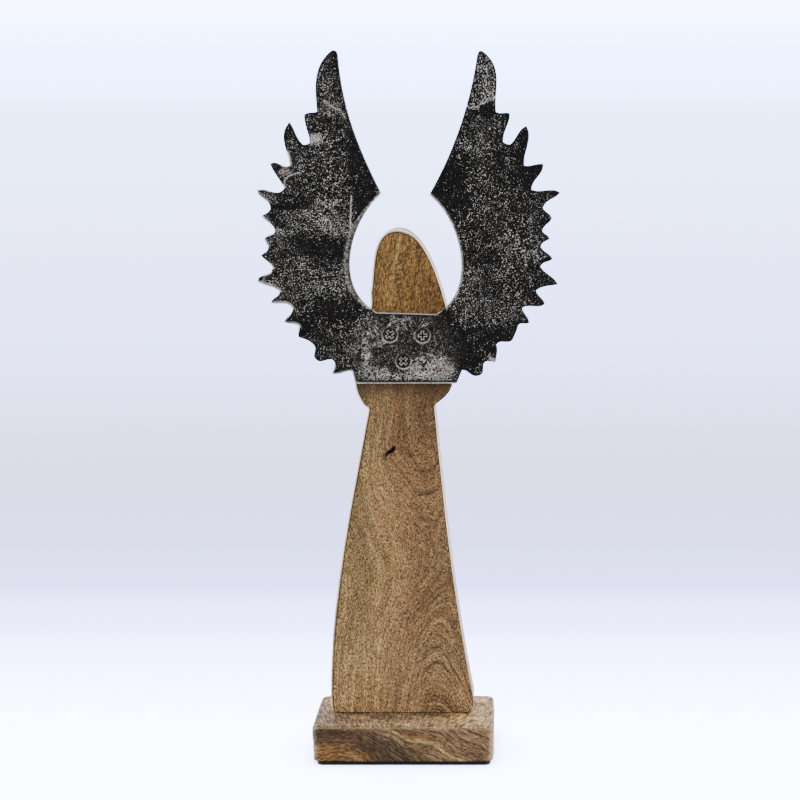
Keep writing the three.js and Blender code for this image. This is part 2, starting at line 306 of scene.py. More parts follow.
class Sheet:
    """gathers points, triangles and attributes of one piece"""

    def __init__(self, keys):
        self.keys = keys
        self.v, self.t, self.a, self.n = [], [], {k: [] for k in keys}, 0

    def add(self, verts, tris, **attrs):
        verts = np.asarray(verts, dtype=float)
        self.v.append(verts)
        self.t.append(np.asarray(tris, dtype=int) + self.n)
        for k in self.keys:
            value = attrs.get(k, 0.0)
            self.a[k].append(np.broadcast_to(value, (len(verts),)).astype(float))
        self.n += len(verts)

    def strip(self, rows, **attrs):
        """a band of quads as triangles between closed rings of equal length"""
        n = len(rows[0])
        tris = []
        for r in range(len(rows) - 1):
            for i in range(n):
                a, b = r * n + i, r * n + (i + 1) % n
                tris += [(a, b, b + n), (a, b + n, a + n)]
        flat = {k: (np.concatenate(x) if isinstance(x, list) else x) for k, x in attrs.items()}
        self.add(np.concatenate(rows), tris, **flat)

    def make(self, name, smooth_deg=38.0):
        return build(name, np.concatenate(self.v), np.concatenate(self.t),
                     {k: np.concatenate(x) for k, x in self.a.items()}, smooth_deg)


def at_y(xz, y):
    y = np.broadcast_to(y, (len(xz),))
    return np.stack([xz[:, 0], y, xz[:, 1]], 1)


# ------------------------------------------------------------------ wings

wing_loops = loops_at("wings", WING_NEAR)
wing_outer = resample(wing_loops[0], 0.62)


def circle(cx, cz, r, n=44):
    a = -np.linspace(0, 2 * np.pi, n, endpoint=False)
    return np.stack([cx + r * np.cos(a), cz + r * np.sin(a)], 1)


near_outline = Outline([wing_outer] + [circle(x, z, SINK_MOUTH_R) for _, x, z in SCREWS])
outer_only = Outline([wing_outer])
w_xz, w_tri, w_all, _ = face(near_outline, WING_GRID, [0.07, 0.28, 0.55, 0.85])
x, z = w_xz.T
w_d, w_near = outer_only.distance(w_xz)
tangent = outer_only.next - outer_only.prev
out_n = np.stack([tangent[:, 1], -tangent[:, 0]], 1)
out_n /= np.maximum(np.hypot(*out_n.T), 1e-9)[:, None]
edge_n = out_n[w_near]

# where the cast surface is worn pale, dark, warm or bare
LEFT_ARC = [(-14.4, 312.1), (-19.9, 306.1), (-24.9, 295.3), (-28.6, 281.9), (-29.3, 268.4), (-25.3, 254.9)]
wobble_x = x + 2.2 * fbm(x, z, 9, 3, 3)
wobble_z = z + 2.2 * fbm(x, z, 9, 3, 7)


def spot(cx, cz, rx, rz, lean=0.0, soft=0.55):
    return blob(wobble_x, wobble_z, cx, cz, rx, rz, lean, soft)


wear = 0.25 + 0.15 * fbm(x, z, 22, 3, 21) + 0.22 * fbm(x, z, 5, 2, 31)
for amount, args in [
    (0.30, (-40.5, 357.5, 7.5, 3.6)), (0.16, (-42, 375, 5, 9)), (0.34, (-47, 341.5, 5, 3.0, 25)), (0.16, (-36, 344, 7, 4)),
    (0.10, (-52, 328, 15, 10)), (0.14, (-33, 322, 6, 5)),
    (0.22, (-62, 301, 9, 5)), (0.30, (-44, 303, 9, 6.5)), (0.38, (-37.5, 294, 9, 5)), (0.20, (-52, 296, 12, 6)),
    (0.14, (-69, 288, 6, 7)), (0.45, (-69.5, 291.5, 2.8, 2.2)), (0.34, (-75, 264.5, 6, 1.6)), (0.42, (-77, 310.6, 5.5, 2.2, -8)), (0.12, (-58, 268, 16, 14)), (0.18, (-38, 262, 6, 12)),
    (0.34, (43, 376, 9, 17)), (0.16, (40.5, 363, 7, 4.0, 18)), (0.12, (38, 348, 9, 6)), (0.22, (36, 338, 9, 5)),
    (0.28, (55.6, 328.5, 2.6, 4)), (0.16, (46, 300, 14, 12)), (0.14, (60, 284, 12, 10)),
    (0.20, (27.3, 289, 2.6, 6)), (0.18, (34, 258, 9, 13)), (0.14, (50, 250, 12, 9)),
    (0.52, (-23.5, 226, 2.6, 8, 8)), (0.42, (-20, 214.5, 7, 4)), (0.20, (-12, 213, 6, 3)), (0.34, (-16.5, 231, 4, 2.4, 30)),
    (0.66, (13, 217, 11, 7, -8)), (0.34, (3, 214, 5, 4)), (0.12, (8, 229, 8, 2.5)), (0.30, (-5, 212.5, 5, 3)),
    (0.20, (-2, 242, 12, 2.6)), (0.24, (20, 214, 5, 5)), (0.20, (-22, 240, 5, 6)),
]:
    wear = wear + 0.78 * amount * spot(*args)
for amount, args in [
    (0.42, (-23, 334, 8, 12, 25)), (0.34, (-26, 322, 6, 7)), (0.45, (-64, 305.6, 10, 1.9, 4)), (0.30, (-22, 312, 6, 5)),
    (0.30, (-44, 283, 20, 5)), (0.26, (-26, 303, 2.5, 9)), (0.26, (-40, 250, 15, 7)),
    (0.46, (21, 315, 9, 11)), (0.12, (29, 330, 9, 9)), (0.30, (66, 334, 8, 10)), (0.22, (68, 321, 6, 5)),
    (0.34, (36.2, 355.0, 2.6, 1.8)), (0.50, (43.2, 356.6, 4.0, 3.4, 10)), (0.14, (40, 277, 12, 5)),
    (0.50, (21, 241, 5.5, 7, 30)), (0.46, (26, 231, 7, 6, -30)), (0.34, (31, 222, 6, 5)), (0.30, (-12.5, 224.5, 8, 4)),
    (0.26, (0, 228, 7, 4)), (0.30, (46, 232, 8, 5)), (0.24, (-60, 240, 10, 5)),
]:
    wear = wear - amount * spot(*args)
wear = wear - 0.20 * blob(x, z, -2, 227, 27, 21, 0, 0.25)
wear = wear + 0.5 * spot(-66.3, 323.2, 3.4, 2.8) + 0.4 * spot(-49.5, 341.2, 4.0, 2.4, 20)
warm = (spot(-51.4, 342.4, 2.0, 2.2) + 0.9 * spot(-66.3, 323.2, 3.0, 2.6) + 0.4 * spot(-33, 353, 3, 3)
        + 0.35 * spot(6, 217, 9, 6) + 0.35 * spot(18, 219, 7, 5) + 0.5 * spot(-77, 310.6, 5, 2.2)
        + 0.3 * spot(-42, 358, 6, 4) + 0.25 * fbm(x, z, 12, 2, 191))
worms = blob(x, z, -2, 227, 27, 21, 0, 0.25)

# ground chamfer up the left inner arc, thin one on the right, and pale lower
# flanks on the left feathers
arc_d = np.full_like(x, 1e9)
for (ax, az), (bx, bz) in zip(LEFT_ARC[:-1], LEFT_ARC[1:]):
    dx, dz = bx - ax, bz - az
    t = np.clip(((x - ax) * dx + (z - az) * dz) / (dx * dx + dz * dz), 0, 1)
    arc_d = np.minimum(arc_d, np.hypot(x - ax - t * dx, z - az - t * dz))
inner_left = (x < -12) & (z < 313.5) & (z > 250) & (arc_d < 8) & (edge_n[:, 0] > 0.2)
band = 1.1 + 2.3 * step(309, 290, z) * step(250, 262, z)
chamfer = np.where(inner_left, 1 - step(band * 0.82, band * 1.05, w_d), 0.0)
inner_right = (x > 11) & (x < 34) & (z < 312) & (z > 250) & (edge_n[:, 0] < -0.2)
thin = np.where(inner_right, 1 - step(0.9, 1.3, w_d), 0.0) * (0.45 + 0.55 * step(0.0, 0.25, fbm(x, z, 14, 2, 61)))
flank = np.where((x < -45) & (edge_n[:, 0] * -0.55 + edge_n[:, 1] * -0.83 > 0.55) & (z > 240) & (z < 335),
                 1 - step(0.9, 1.7, w_d), 0.0) * step(-0.25, 0.15, fbm(x, z, 16, 2, 71))
brow = np.where((x < -50) & (edge_n[:, 1] > 0.45) & (z > 236) & (z < 332), 1 - step(0.3, 0.7, w_d), 0.0)
brow = brow * step(-0.15, 0.15, fbm(x, z, 11, 2, 73))
foot = (np.abs(z - 209.0) < 3.0) & (x > -30.5) & (x < 26.5)
foot_bare = np.where(foot, 1 - step(0.60, 0.85, z - 209.05), 0.0)
foot_dark = np.where(foot, step(0.7, 1.0, z - 209.05) * (1 - step(1.6, 2.4, z - 209.05)), 0.0)
top = (z > 244.5) & (z < 249) & (np.abs(x + 1.5) < 19.5) & (edge_n[:, 1] > 0.55)
top_bare = np.where(top, 1 - step(0.10, 0.30, w_d), 0.0)
left_up = np.where((x < -27) & (z < 219) & (z > 209), 1 - step(0.6, 1.0, w_d), 0.0)
ridge = stroke(x, z, [(-30.4, 311.0), (-30.9, 302.0), (-31.2, 293.4)], 0.62, 0.55)
crease = stroke(x, z, [(-57.9, 323.5), (-63.9, 321.7), (-65.9, 319.0), (-66.7, 315.3)], 0.60, 0.5)
right_step_z = 358.3 + 0.5 * np.sin(x / 1.5) + 0.4 * np.sin(x / 0.62 + 1) + 0.10 * (x - 38.5) + 3.6 * step(38.5, 44.5, x)
on_right_blade = (x > 30) & (x < 49) & (z > 345)
right_step = np.where(on_right_blade, step(-0.5, 0.5, z - right_step_z), 0.0)
step_line = np.where(on_right_blade, 1 - step(0.18, 0.50, np.abs(z - right_step_z - 0.35)), 0.0)
# painted highlight: tip_shine is a small pale glint by the right wing's lower tip; it joins the bare-metal mask below,
# which so holds bare metal and painted highlight
tip_shine = spot(45.5, 222.2, 2.4, 1.0, -22, 0.4)
streak = stroke(x, z, [(-44.5, 361.5), (-40, 358.0), (-35.5, 356.4), (-33.3, 352.5)], 0.9, 0.6)
bare = np.clip(0.46 * chamfer * (0.55 + 1.5 * fbm(x, z, 1.3, 2, 63)) + 0.9 * np.where(inner_left, 1 - step(0.3, 0.6, w_d), 0.0) + 0.9 * thin + 0.9 * flank + 0.55 * brow + 1.3 * foot_bare + 1.1 * top_bare + 0.8 * left_up
               + 0.95 * ridge + 0.80 * crease + 1.0 * step_line + 0.7 * tip_shine + 0.5 * streak, 0, 1.3)

# painted shade: a dark rim along the rounded edge, where it turns away from the light, with the pale specks held back
rim = 1 - step(0.45, 1.5, w_d)
rim = rim * (1 - 0.8 * np.clip(bare, 0, 1)) * step(-0.5, 0.1, fbm(x, z, 20, 2, 83) + 0.25)

rim = np.maximum(rim, foot_dark)
edge_r = WING_EDGE_R * (1 + 0.25 * fbm(x, z, 12, 2, 91))
edge_r = np.where(top, 0.35, edge_r)
relief = (0.30 * fbm(x, z, 26, 2, 101) + 0.16 * fbm(x, z, 8, 2, 111) + 0.11 * fbm(x, z, 3.2, 2, 121)
          + 0.07 * fbm(x, z, 1.4, 1, 131))
squiggle = np.abs(noise2(x / 1.7, z / 1.7, 141)) * worms
relief = relief + 0.16 * squiggle - 0.06 * worms
lift = -relief * step(0.0, 1.6, w_d)
lift += quarter(w_d, np.where(w_d < 2.0, edge_r, WING_EDGE_R))
lift += np.where(inner_left, 0.62 * np.maximum(band - w_d, 0), 0.0) * (w_d > 0)
lift += np.where(foot, 0.55 * np.maximum(1.0 - (z - 209.05), 0), 0.0) * 0.6
lift -= 0.38 * ridge + 0.22 * crease + 0.30 * right_step + 0.18 * step_line + 0.2 * streak
lift += 0.25 * np.clip(spot(21, 315, 9, 11) + spot(-23, 334, 8, 12, 25), 0, 1)
hole_d = np.min([np.hypot(x - sx, z - sz) for _, sx, sz in SCREWS], axis=0) - SINK_MOUTH_R
lift = np.where(hole_d < 1.6, lift * step(-0.2, 1.6, hole_d), lift) + quarter(np.maximum(hole_d, 0), 0.28)
nearest = np.argmin([np.hypot(x - sx, z - sz) for _, sx, sz in SCREWS], axis=0)
hole_low = np.clip((np.array([sz for _, _, sz in SCREWS])[nearest] - z) / SINK_MOUTH_R, -1, 1)
# painted highlight: the bare ring of each countersink is paler on its lower half, which faces up to the light
seat = (1 - step(0.12, 0.36, hole_d)) * (0.62 + 0.38 * hole_low)
bare = np.clip(bare + 0.45 * seat + 0.45 * spot(-50.2, 341.3, 3.4, 2.0, 20), 0, 1.3)
on_edge = w_all < 1e-4
outer_edge = w_d < 1e-4
lift[outer_edge] = WING_EDGE_R
lift[on_edge & ~outer_edge] = 0.28

wings = Sheet(["wear", "bare", "warm", "worms", "rim"])
wings.add(at_y(w_xz, WING_NEAR + lift), w_tri, wear=np.clip(wear, 0, 1.2), bare=bare, warm=np.clip(warm, 0, 1),
          worms=worms, rim=rim)

n_out = len(wing_outer)
p = wing_outer
pale_wall = np.clip(np.where(p[:, 1] > 240, 0.3, 0.12) + 0.5 * fbm(p[:, 0], p[:, 1], 18, 2, 151), 0, 0.8)
top_wall = (p[:, 1] > 246.0) & (p[:, 1] < 249.5) & (np.abs(p[:, 0] + 1.5) < 18.5)
foot_wall = (p[:, 1] < 209.6) & (p[:, 0] > -31) & (p[:, 0] < 27)
pale_wall = np.where(top_wall | foot_wall, 1.0, pale_wall)
rows, vals = [], []
for k, f in enumerate(np.linspace(0, 1, 6)):
    yy = (WING_NEAR + WING_EDGE_R) * (1 - f) + (WING_FAR - 0.45) * f
    rows.append(at_y(p, yy))
    vals.append(pale_wall)
wings.strip(rows, wear=0.3, bare=vals, rim=0.2)

# back of the casting, plainer, where it stands clear of the board
far_outline = Outline([wing_outer] + [circle(sx, sz, SINK_HOLE_R, 24) for _, sx, sz in SCREWS])
f_xz, f_tri, f_all, _ = face(far_outline, 1.9, [0.06, 0.3, 0.6])
f_d, _ = outer_only.distance(f_xz)
fx, fz = f_xz.T
fall = quarter(f_d, 0.45)
fall += np.where(f_d > 0.6, 0.06 + 0.10 * fbm(fx, fz, 14, 3, 161), 0.0)
fall[f_d < 1e-4] = 0.45
hole_far = np.min([np.hypot(fx - sx, fz - sz) for _, sx, sz in SCREWS], axis=0) - SINK_HOLE_R
fall = np.where(hole_far < 0.4, 0.0, np.maximum(fall, 0.0))
wings.add(at_y(f_xz, WING_FAR - fall), f_tri[:, ::-1], wear=0.30 + 0.2 * fbm(fx, fz, 24, 3, 171),
          bare=0.5 * (1 - step(0.3, 0.9, f_d)) * step(-0.1, 0.3, fbm(fx, fz, 20, 2, 181)), rim=0.0)
for _, sx, sz in SCREWS:
    cone, worn = [], []
    for r, pale in ((SINK_MOUTH_R, 0.5), (4.25, 1.0), (4.05, 1.0), (3.85, 0.0), (3.5, 0.0), (2.8, 0.05), (SINK_HOLE_R + 0.05, 0.0)):
        cone.append(at_y(circle(sx, sz, r), WING_NEAR + 0.28 + (SINK_MOUTH_R - r) * 0.95))
        # painted highlight: each ring of the countersink is paler on its lower, upward-facing half
        low = (sz - cone[-1][:, 2]) / r
        worn.append(pale * (0.62 + 0.38 * low))
    cone[-1][:, 1] = WING_NEAR + 2.5
    wings.strip(cone, wear=0.05, bare=worn)
    bore = [at_y(circle(sx, sz, SINK_HOLE_R, 24), WING_NEAR + 2.5), at_y(circle(sx, sz, SINK_HOLE_R, 24), WING_FAR)]
    wings.strip(bore, wear=0.2, bare=0.1)
wings_obj = wings.make("wings_casting", 50)

# ----------------------------------------------------------------- figure



def bell(t, centre, spread):
    return np.exp(-((t - centre) / spread) ** 2)


def figure_grain(x, z):
    """level lines of this field are the growth lines of the board: straight on the left,
    arched over the lower right, cupped above that, leaning in between"""
    middle = 11.5 + 8.5 * bell(z, 100, 30) - 5.0 * bell(z, 165, 34)
    rise = np.mean([np.interp(z + d, [-10, 5, 60, 100, 122, 138, 160, 185, 205],
                              [40, 33, 8, -8, -13, -10, 1, 13, 16]) for d in np.linspace(-9, 9, 7)], axis=0)
    field = -(np.sqrt((x - middle) ** 2 + 121.0) - 11.0) + rise * step(-27, 13, x)
    field = field - 0.30 * (z - 262) * bell(x, -5, 9) * step(236, 256, z) + 2.6 * bell(x, -11, 7) * bell(z, 171, 11)
    return field + 4.0 * fbm(x + 200, z * 0.30, 30, 2, 501) + 1.3 * fbm(x, z * 0.35, 9, 2, 511)


def lean_of(grain, a, b):
    """twice the angle of the level lines, as cosine and sine"""
    h = 0.6
    ga = (grain(a + h, b) - grain(a - h, b)) / (2 * h)
    gb = (grain(a, b + h) - grain(a, b - h)) / (2 * h)
    t = 2 * np.arctan2(-gb, ga)
    return np.cos(t), np.sin(t)


def normals_of(outline):
    tangent = outline.next - outline.prev
    n = np.stack([tangent[:, 1], -tangent[:, 0]], 1)
    return n / np.maximum(np.hypot(*n.T), 1e-9)[:, None]


board_loop = resample(loops_at("figure", BOARD_NEAR + 2.0)[0], 1.0, 24.0)
board = Outline([board_loop])
# a denser patch of points round the knot's slit
gx, gz = np.meshgrid(np.arange(-6, 6, 0.32), np.arange(-2.2, 2.2, 0.32))
ca, sa = math.cos(math.radians(KNOT["lean"])), math.sin(math.radians(KNOT["lean"]))
knot_pts = np.stack([KNOT["x"] + gx.ravel() * ca - gz.ravel() * sa,
                     KNOT["z"] + gx.ravel() * sa + gz.ravel() * ca], 1)
knot_pts = knot_pts + np.random.default_rng(5).uniform(-0.05, 0.05, knot_pts.shape)
r = BOARD_EDGE_R
b_xz, b_tri, b_d, b_near = face(board, BOARD_GRID, [0.05 * r, 0.15 * r, 0.32 * r, 0.62 * r, 1.0 * r, 1.6 * r], knot_pts)
b_n = normals_of(board)
bx, bz = b_xz.T
ku = (bx - KNOT["x"]) * ca + (bz - KNOT["z"]) * sa
kv = -(bx - KNOT["x"]) * sa + (bz - KNOT["z"]) * ca
kv = kv + 0.25 * np.sin(ku * 1.3)
ragged = 1 + 0.35 * fbm(bx, bz, 1.6, 2, 201)
inside = np.maximum(1 - (ku / KNOT["half"]) ** 2 - (kv / (KNOT["wide"] * ragged * (0.65 + 0.1 * ku))) ** 2, 0)
slit = np.sqrt(inside)
tight = np.maximum(step(0.35, 0.75, b_n[:, 0]), step(0.55, 0.85, -b_n[:, 1]))
r_edge = (0.45 + 0.80 * (1 - tight)) * (1 + 0.18 * fbm(board_loop[:, 0], board_loop[:, 1], 30, 2, 211))
r_local = r_edge[b_near]
dip = quarter(b_d, np.where(b_d < 3, r_local, BOARD_EDGE_R))
dip += 0.10 * (0.5 + fbm(bx, bz, 45, 3, 221)) * step(0, 3, b_d) + 0.02 * fbm(bx * 3, bz * 0.35, 3, 2, 231)
dip += KNOT["deep"] * slit
dip = np.maximum(dip, 0.0)
dip[b_d < 1e-4] = BOARD_EDGE_R
figure = Sheet(["inset", "lip", "knot", "front", "flow", "turn_c", "turn_s"])


def grain_of(px, pz):
    c, sn = lean_of(figure_grain, px, pz)
    return {"flow": figure_grain(px, pz), "turn_c": c, "turn_s": sn}


# painted highlight: the pale edge mask lightens the rounded front edge round the left and the top, less where the edge
# is tight, and fades out lower down
figure.add(at_y(b_xz, BOARD_NEAR + dip), b_tri, inset=np.minimum(b_d, 5.0) - r_local + 0.45 * tight[b_near], front=1.0,
           lip=(1 - tight[b_near]) * (1 - step(0.55, 1.0, b_d / r_local)) * (0.10 + 0.90 * step(55, 130, bz)) * step(12, 30, bz),
           knot=np.clip(step(0.02, 0.3, slit) + 0.55 * np.exp(-(ku / 4.6) ** 2 - (kv / 1.9) ** 2), 0, 1), **grain_of(bx, bz))
# painted highlight: the pale edge mask runs on over the front of the side walls
rows, lips = [], []
for f in np.linspace(0, 1, 16):
    rows.append(at_y(board_loop, (BOARD_NEAR + BOARD_EDGE_R) * (1 - f) + (BOARD_FAR - 1.6) * f))
    lips.append((0.12 + 0.88 * (1 - float(step(0.05, 0.30, np.array(f))))) * (0.10 + 0.90 * step(55, 130, board_loop[:, 1])))
wall_grain = grain_of(*board_loop.T)
figure.strip(rows, inset=3.0, lip=lips, **{k: [v] * 16 for k, v in wall_grain.items()})
g_xz, g_tri, g_d, _ = face(board, 3.0, [0.08, 0.3, 0.7, 1.2, 1.7])
gxx, gzz = g_xz.T
back = quarter(g_d, 1.6) + 0.08 * (0.5 + fbm(gxx, gzz, 40, 2, 251)) * step(0, 4, g_d)
back[g_d < 1e-4] = 1.6
figure.add(at_y(g_xz, BOARD_FAR - np.maximum(back, 0)), g_tri[:, ::-1], inset=np.minimum(g_d, 5.0) - 1.4, **grain_of(gxx, gzz))
figure_obj = figure.make("figure_board", 40)


# ----------------------------------------------------------- base and pad

def block(name, lo, hi, corner_r, top_r, foot_r, cell, wobble, seed, keys):
    """a rounded block as a dense shell, slightly uneven as sanded by hand"""
    lo, hi = np.array(lo) * 1000, np.array(hi) * 1000
    mid, half = (lo + hi) / 2, (hi - lo) / 2
    n = np.maximum((2 * half / cell).astype(int), 3)
    bm = bmesh.new()
    bmesh.ops.create_cube(bm, size=2.0)
    bm.to_mesh(mesh := bpy.data.meshes.new(name))
    bm.free()
    verts, tris = [], []
    for axis in range(3):
        u, v = (axis + 1) % 3, (axis + 2) % 3
        for side in (-1, 1):
            a = np.linspace(-1, 1, n[u] + 1)
            b = np.linspace(-1, 1, n[v] + 1)
            # closer rows towards the rounded edges
            a = np.sign(a) * (1 - (1 - np.abs(a)) ** 1.25)
            b = np.sign(b) * (1 - (1 - np.abs(b)) ** 1.25)
            A, B = np.meshgrid(a, b, indexing="ij")
            q = np.zeros(A.shape + (3,))
            q[..., axis], q[..., u], q[..., v] = side, A, B
            start = sum(len(k) for k in verts)
            verts.append(q.reshape(-1, 3))
            idx = start + np.arange(A.size).reshape(A.shape)
            c = np.stack([idx[:-1, :-1], idx[1:, :-1], idx[1:, 1:], idx[:-1, 1:]], -1).reshape(-1, 4)
            if side < 0:
                c = c[:, ::-1]
            tris.append(np.concatenate([c[:, [0, 1, 2]], c[:, [0, 2, 3]]]))
    q = np.concatenate(verts) * half
    bpy.data.meshes.remove(mesh)
    # first round the four upright corners, then the top and lower edges
    core = half.copy()
    core[:2] -= corner_r
    inner = np.clip(q[:, :2], -core[:2], core[:2])
    off = q[:, :2] - inner
    length = np.maximum(np.hypot(*off.T), 1e-9)
    reach = np.max(np.abs(off), axis=1)
    q[:, :2] = inner + off / length[:, None] * reach[:, None]
    inset = np.full(len(q), 1e9)
    inset = np.minimum(half[0] - np.abs(q[:, 0]), half[1] - np.abs(q[:, 1]))
    in_corner = (np.abs(q[:, 0]) > core[0]) & (np.abs(q[:, 1]) > core[1])
    inset = np.where(in_corner, corner_r - reach, inset)
    inset = np.maximum(inset, 0)
    for r, sign in ((top_r, 1), (foot_r, -1)):
        depth = half[2] - sign * q[:, 2]
        zone = (inset < r) & (depth < r)
        a, b = r - inset, r - depth
        norm = np.maximum(np.hypot(a, b), 1e-9)
        scale = np.where(zone, np.maximum(a, b) / norm, 1.0)
        new_inset, new_depth = r - a * scale, r - b * scale
        flat = q[:, :2].copy()
        out = np.where(in_corner[:, None], off / length[:, None], np.where(
            (half[0] - np.abs(flat[:, 0]) < half[1] - np.abs(flat[:, 1]))[:, None],
            np.stack([np.sign(flat[:, 0]), np.zeros(len(q))], 1),
            np.stack([np.zeros(len(q)), np.sign(flat[:, 1])], 1)))
        q[:, :2] = np.where(zone[:, None], flat + out * (inset - new_inset)[:, None], flat)
        q[:, 2] = np.where(zone, sign * (half[2] - new_depth), q[:, 2])
    uneven = wobble * (fbm(q[:, 0] + 2.1 * q[:, 2], q[:, 1] - 1.3 * q[:, 2], 26, 3, seed) - 0.35)
    shrink = 1 + np.minimum(uneven, 0) / half.min()
    keep_z = np.abs(q[:, 2]) > half[2] - 1e-6
    q[:, :2] *= shrink[:, None]
    q[:, 2] = np.where(keep_z, q[:, 2], q[:, 2] * shrink)
    return build(name, q + mid, np.concatenate(tris), {k: f(q + mid) for k, f in keys.items()}, 50)


lo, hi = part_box("base")


def soft_box(q, cx, cz, rx, rz, lean=0.0, soft=0.6, seed=1):
    """a soft ellipse on the near side of the block"""
    wx, wz = q[:, 0] + 3 * fbm(q[:, 0], q[:, 2], 12, 2, seed), q[:, 2] + 2 * fbm(q[:, 0], q[:, 2], 9, 2, seed + 5)
    return blob(wx, wz, cx, cz, rx, rz, lean, soft) * step(10, -24, q[:, 1])



def over(q):
    """height up the near side, carried on across the top"""
    return q[:, 2] + q[:, 1] + 30.0


def base_grain(x, s):
    """growth lines that fall to the right and wrap over the lower left"""
    field = s + 0.42 * x - 17.0 * bell(x, -36, 17) * bell(s, 1, 14) + 5.0 * bell(x, -52, 12) * bell(s, 24, 12)
    return field + 5.5 * fbm(x + 90, s * 0.8, 34, 2, 521) + 1.2 * fbm(x, s, 10, 2, 531)


base_obj = block("base_block", lo, hi, 4.5, 1.9, 0.9, 1.25, 0.16, 301, {
    "flow": lambda q: base_grain(q[:, 0], over(q)),
    "turn_c": lambda q: lean_of(base_grain, q[:, 0], over(q))[0],
    "turn_s": lambda q: lean_of(base_grain, q[:, 0], over(q))[1],
    "lift": lambda q: over(q),
    "near": lambda q: step(-24, -27, q[:, 1]),
    "dark": lambda q: np.clip(0.85 * soft_box(q, -46, 17, 17, 7, 0, 0.6, 11) + 0.6 * soft_box(q, -10, 6, 16, 6, -20, 0.6, 13)
                              + 0.3 * soft_box(q, 36, 6, 14, 5, 0, 0.6, 15) + 0.5 * soft_box(q, -24, 12, 9, 9, -60, 0.6, 17), 0, 1),
    "amber": lambda q: np.clip(0.9 * soft_box(q, -44, 6, 12, 5.5, 12, 0.7, 21) + 0.5 * soft_box(q, -27, 5, 7, 4, 0, 0.6, 23), 0, 1),
    "pale": lambda q: np.clip(
        stroke(q[:, 0], q[:, 2] + 1.2 * fbm(q[:, 0], q[:, 2], 9, 2, 33), [(-12, 22), (2, 16.5), (14, 10), (24, 4.5)], 2.4, 0.8)
        * step(-20, -29, q[:, 1]) + 0.5 * blob(q[:, 0], q[:, 1], -44, -8, 14, 24, 0, 0.6) * step(18, 21, q[:, 2])
        + 0.45 * blob(q[:, 0], q[:, 1], 34, -14, 14, 14, 0, 0.6) * step(18, 21, q[:, 2]), 0, 1),
})
plo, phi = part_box("base_pad")


def pad_mesh():
    """felt sheet: softly uneven edge and faces"""
    lo, hi = np.array(plo) * 1000, np.array(phi) * 1000
    w, d, cr = (hi[0] - lo[0]) / 2, (hi[1] - lo[1]) / 2, 3.0
    cx, cy = (hi[0] + lo[0]) / 2, (hi[1] + lo[1]) / 2
    ring = []
    for qx, qy, k in ((w - cr, d - cr, 0), (-w + cr, d - cr, 1), (-w + cr, -d + cr, 2), (w - cr, -d + cr, 3)):
        for a in np.linspace(0, 1, 9):
            t = (k + a) * math.pi / 2
            ring.append((qx + cr * math.cos(t), qy + cr * math.sin(t)))
    ring = resample(np.array(ring), 0.8, 80)
    sway = 0.22 * fbm(ring[:, 0] * 1.0, ring[:, 1] * 1.7, 3.0, 3, 401)
    out = Outline([ring - ring / np.hypot(*ring.T)[:, None] * np.abs(sway)[:, None]])
    q, tri, dist, _ = face(out, 2.2, [0.15, 0.5, 1.0])
    s = Sheet(["fuzz"])
    z_top, z_low = hi[2], lo[2]
    round_up = quarter(dist, 0.25)
    round_up[dist < 1e-4] = 0.25
    for zz, flip in ((z_top, False), (z_low, True)):
        zed = zz - round_up * (1 if not flip else -1)
        v = np.stack([q[:, 0] + cx, q[:, 1] + cy, zed], 1)
        s.add(v, tri[:, ::-1] if flip else tri, fuzz=1 - step(0, 1.5, dist))
    edge = out.points
    rows = []
    for f in np.linspace(0, 1, 5):
        swell = 0.12 * math.sin(f * math.pi)
        e = edge * (1 + swell / np.hypot(*edge.T)[:, None])
        rows.append(np.stack([e[:, 0] + cx, e[:, 1] + cy, np.full(len(e), (z_top - 0.25) * (1 - f) + (z_low + 0.25) * f)], 1))
    s.strip(rows, fuzz=1.0)
    return s.make("felt_sheet", 60)


pad_obj = pad_mesh()


# -------------------------------------------------------------- materials

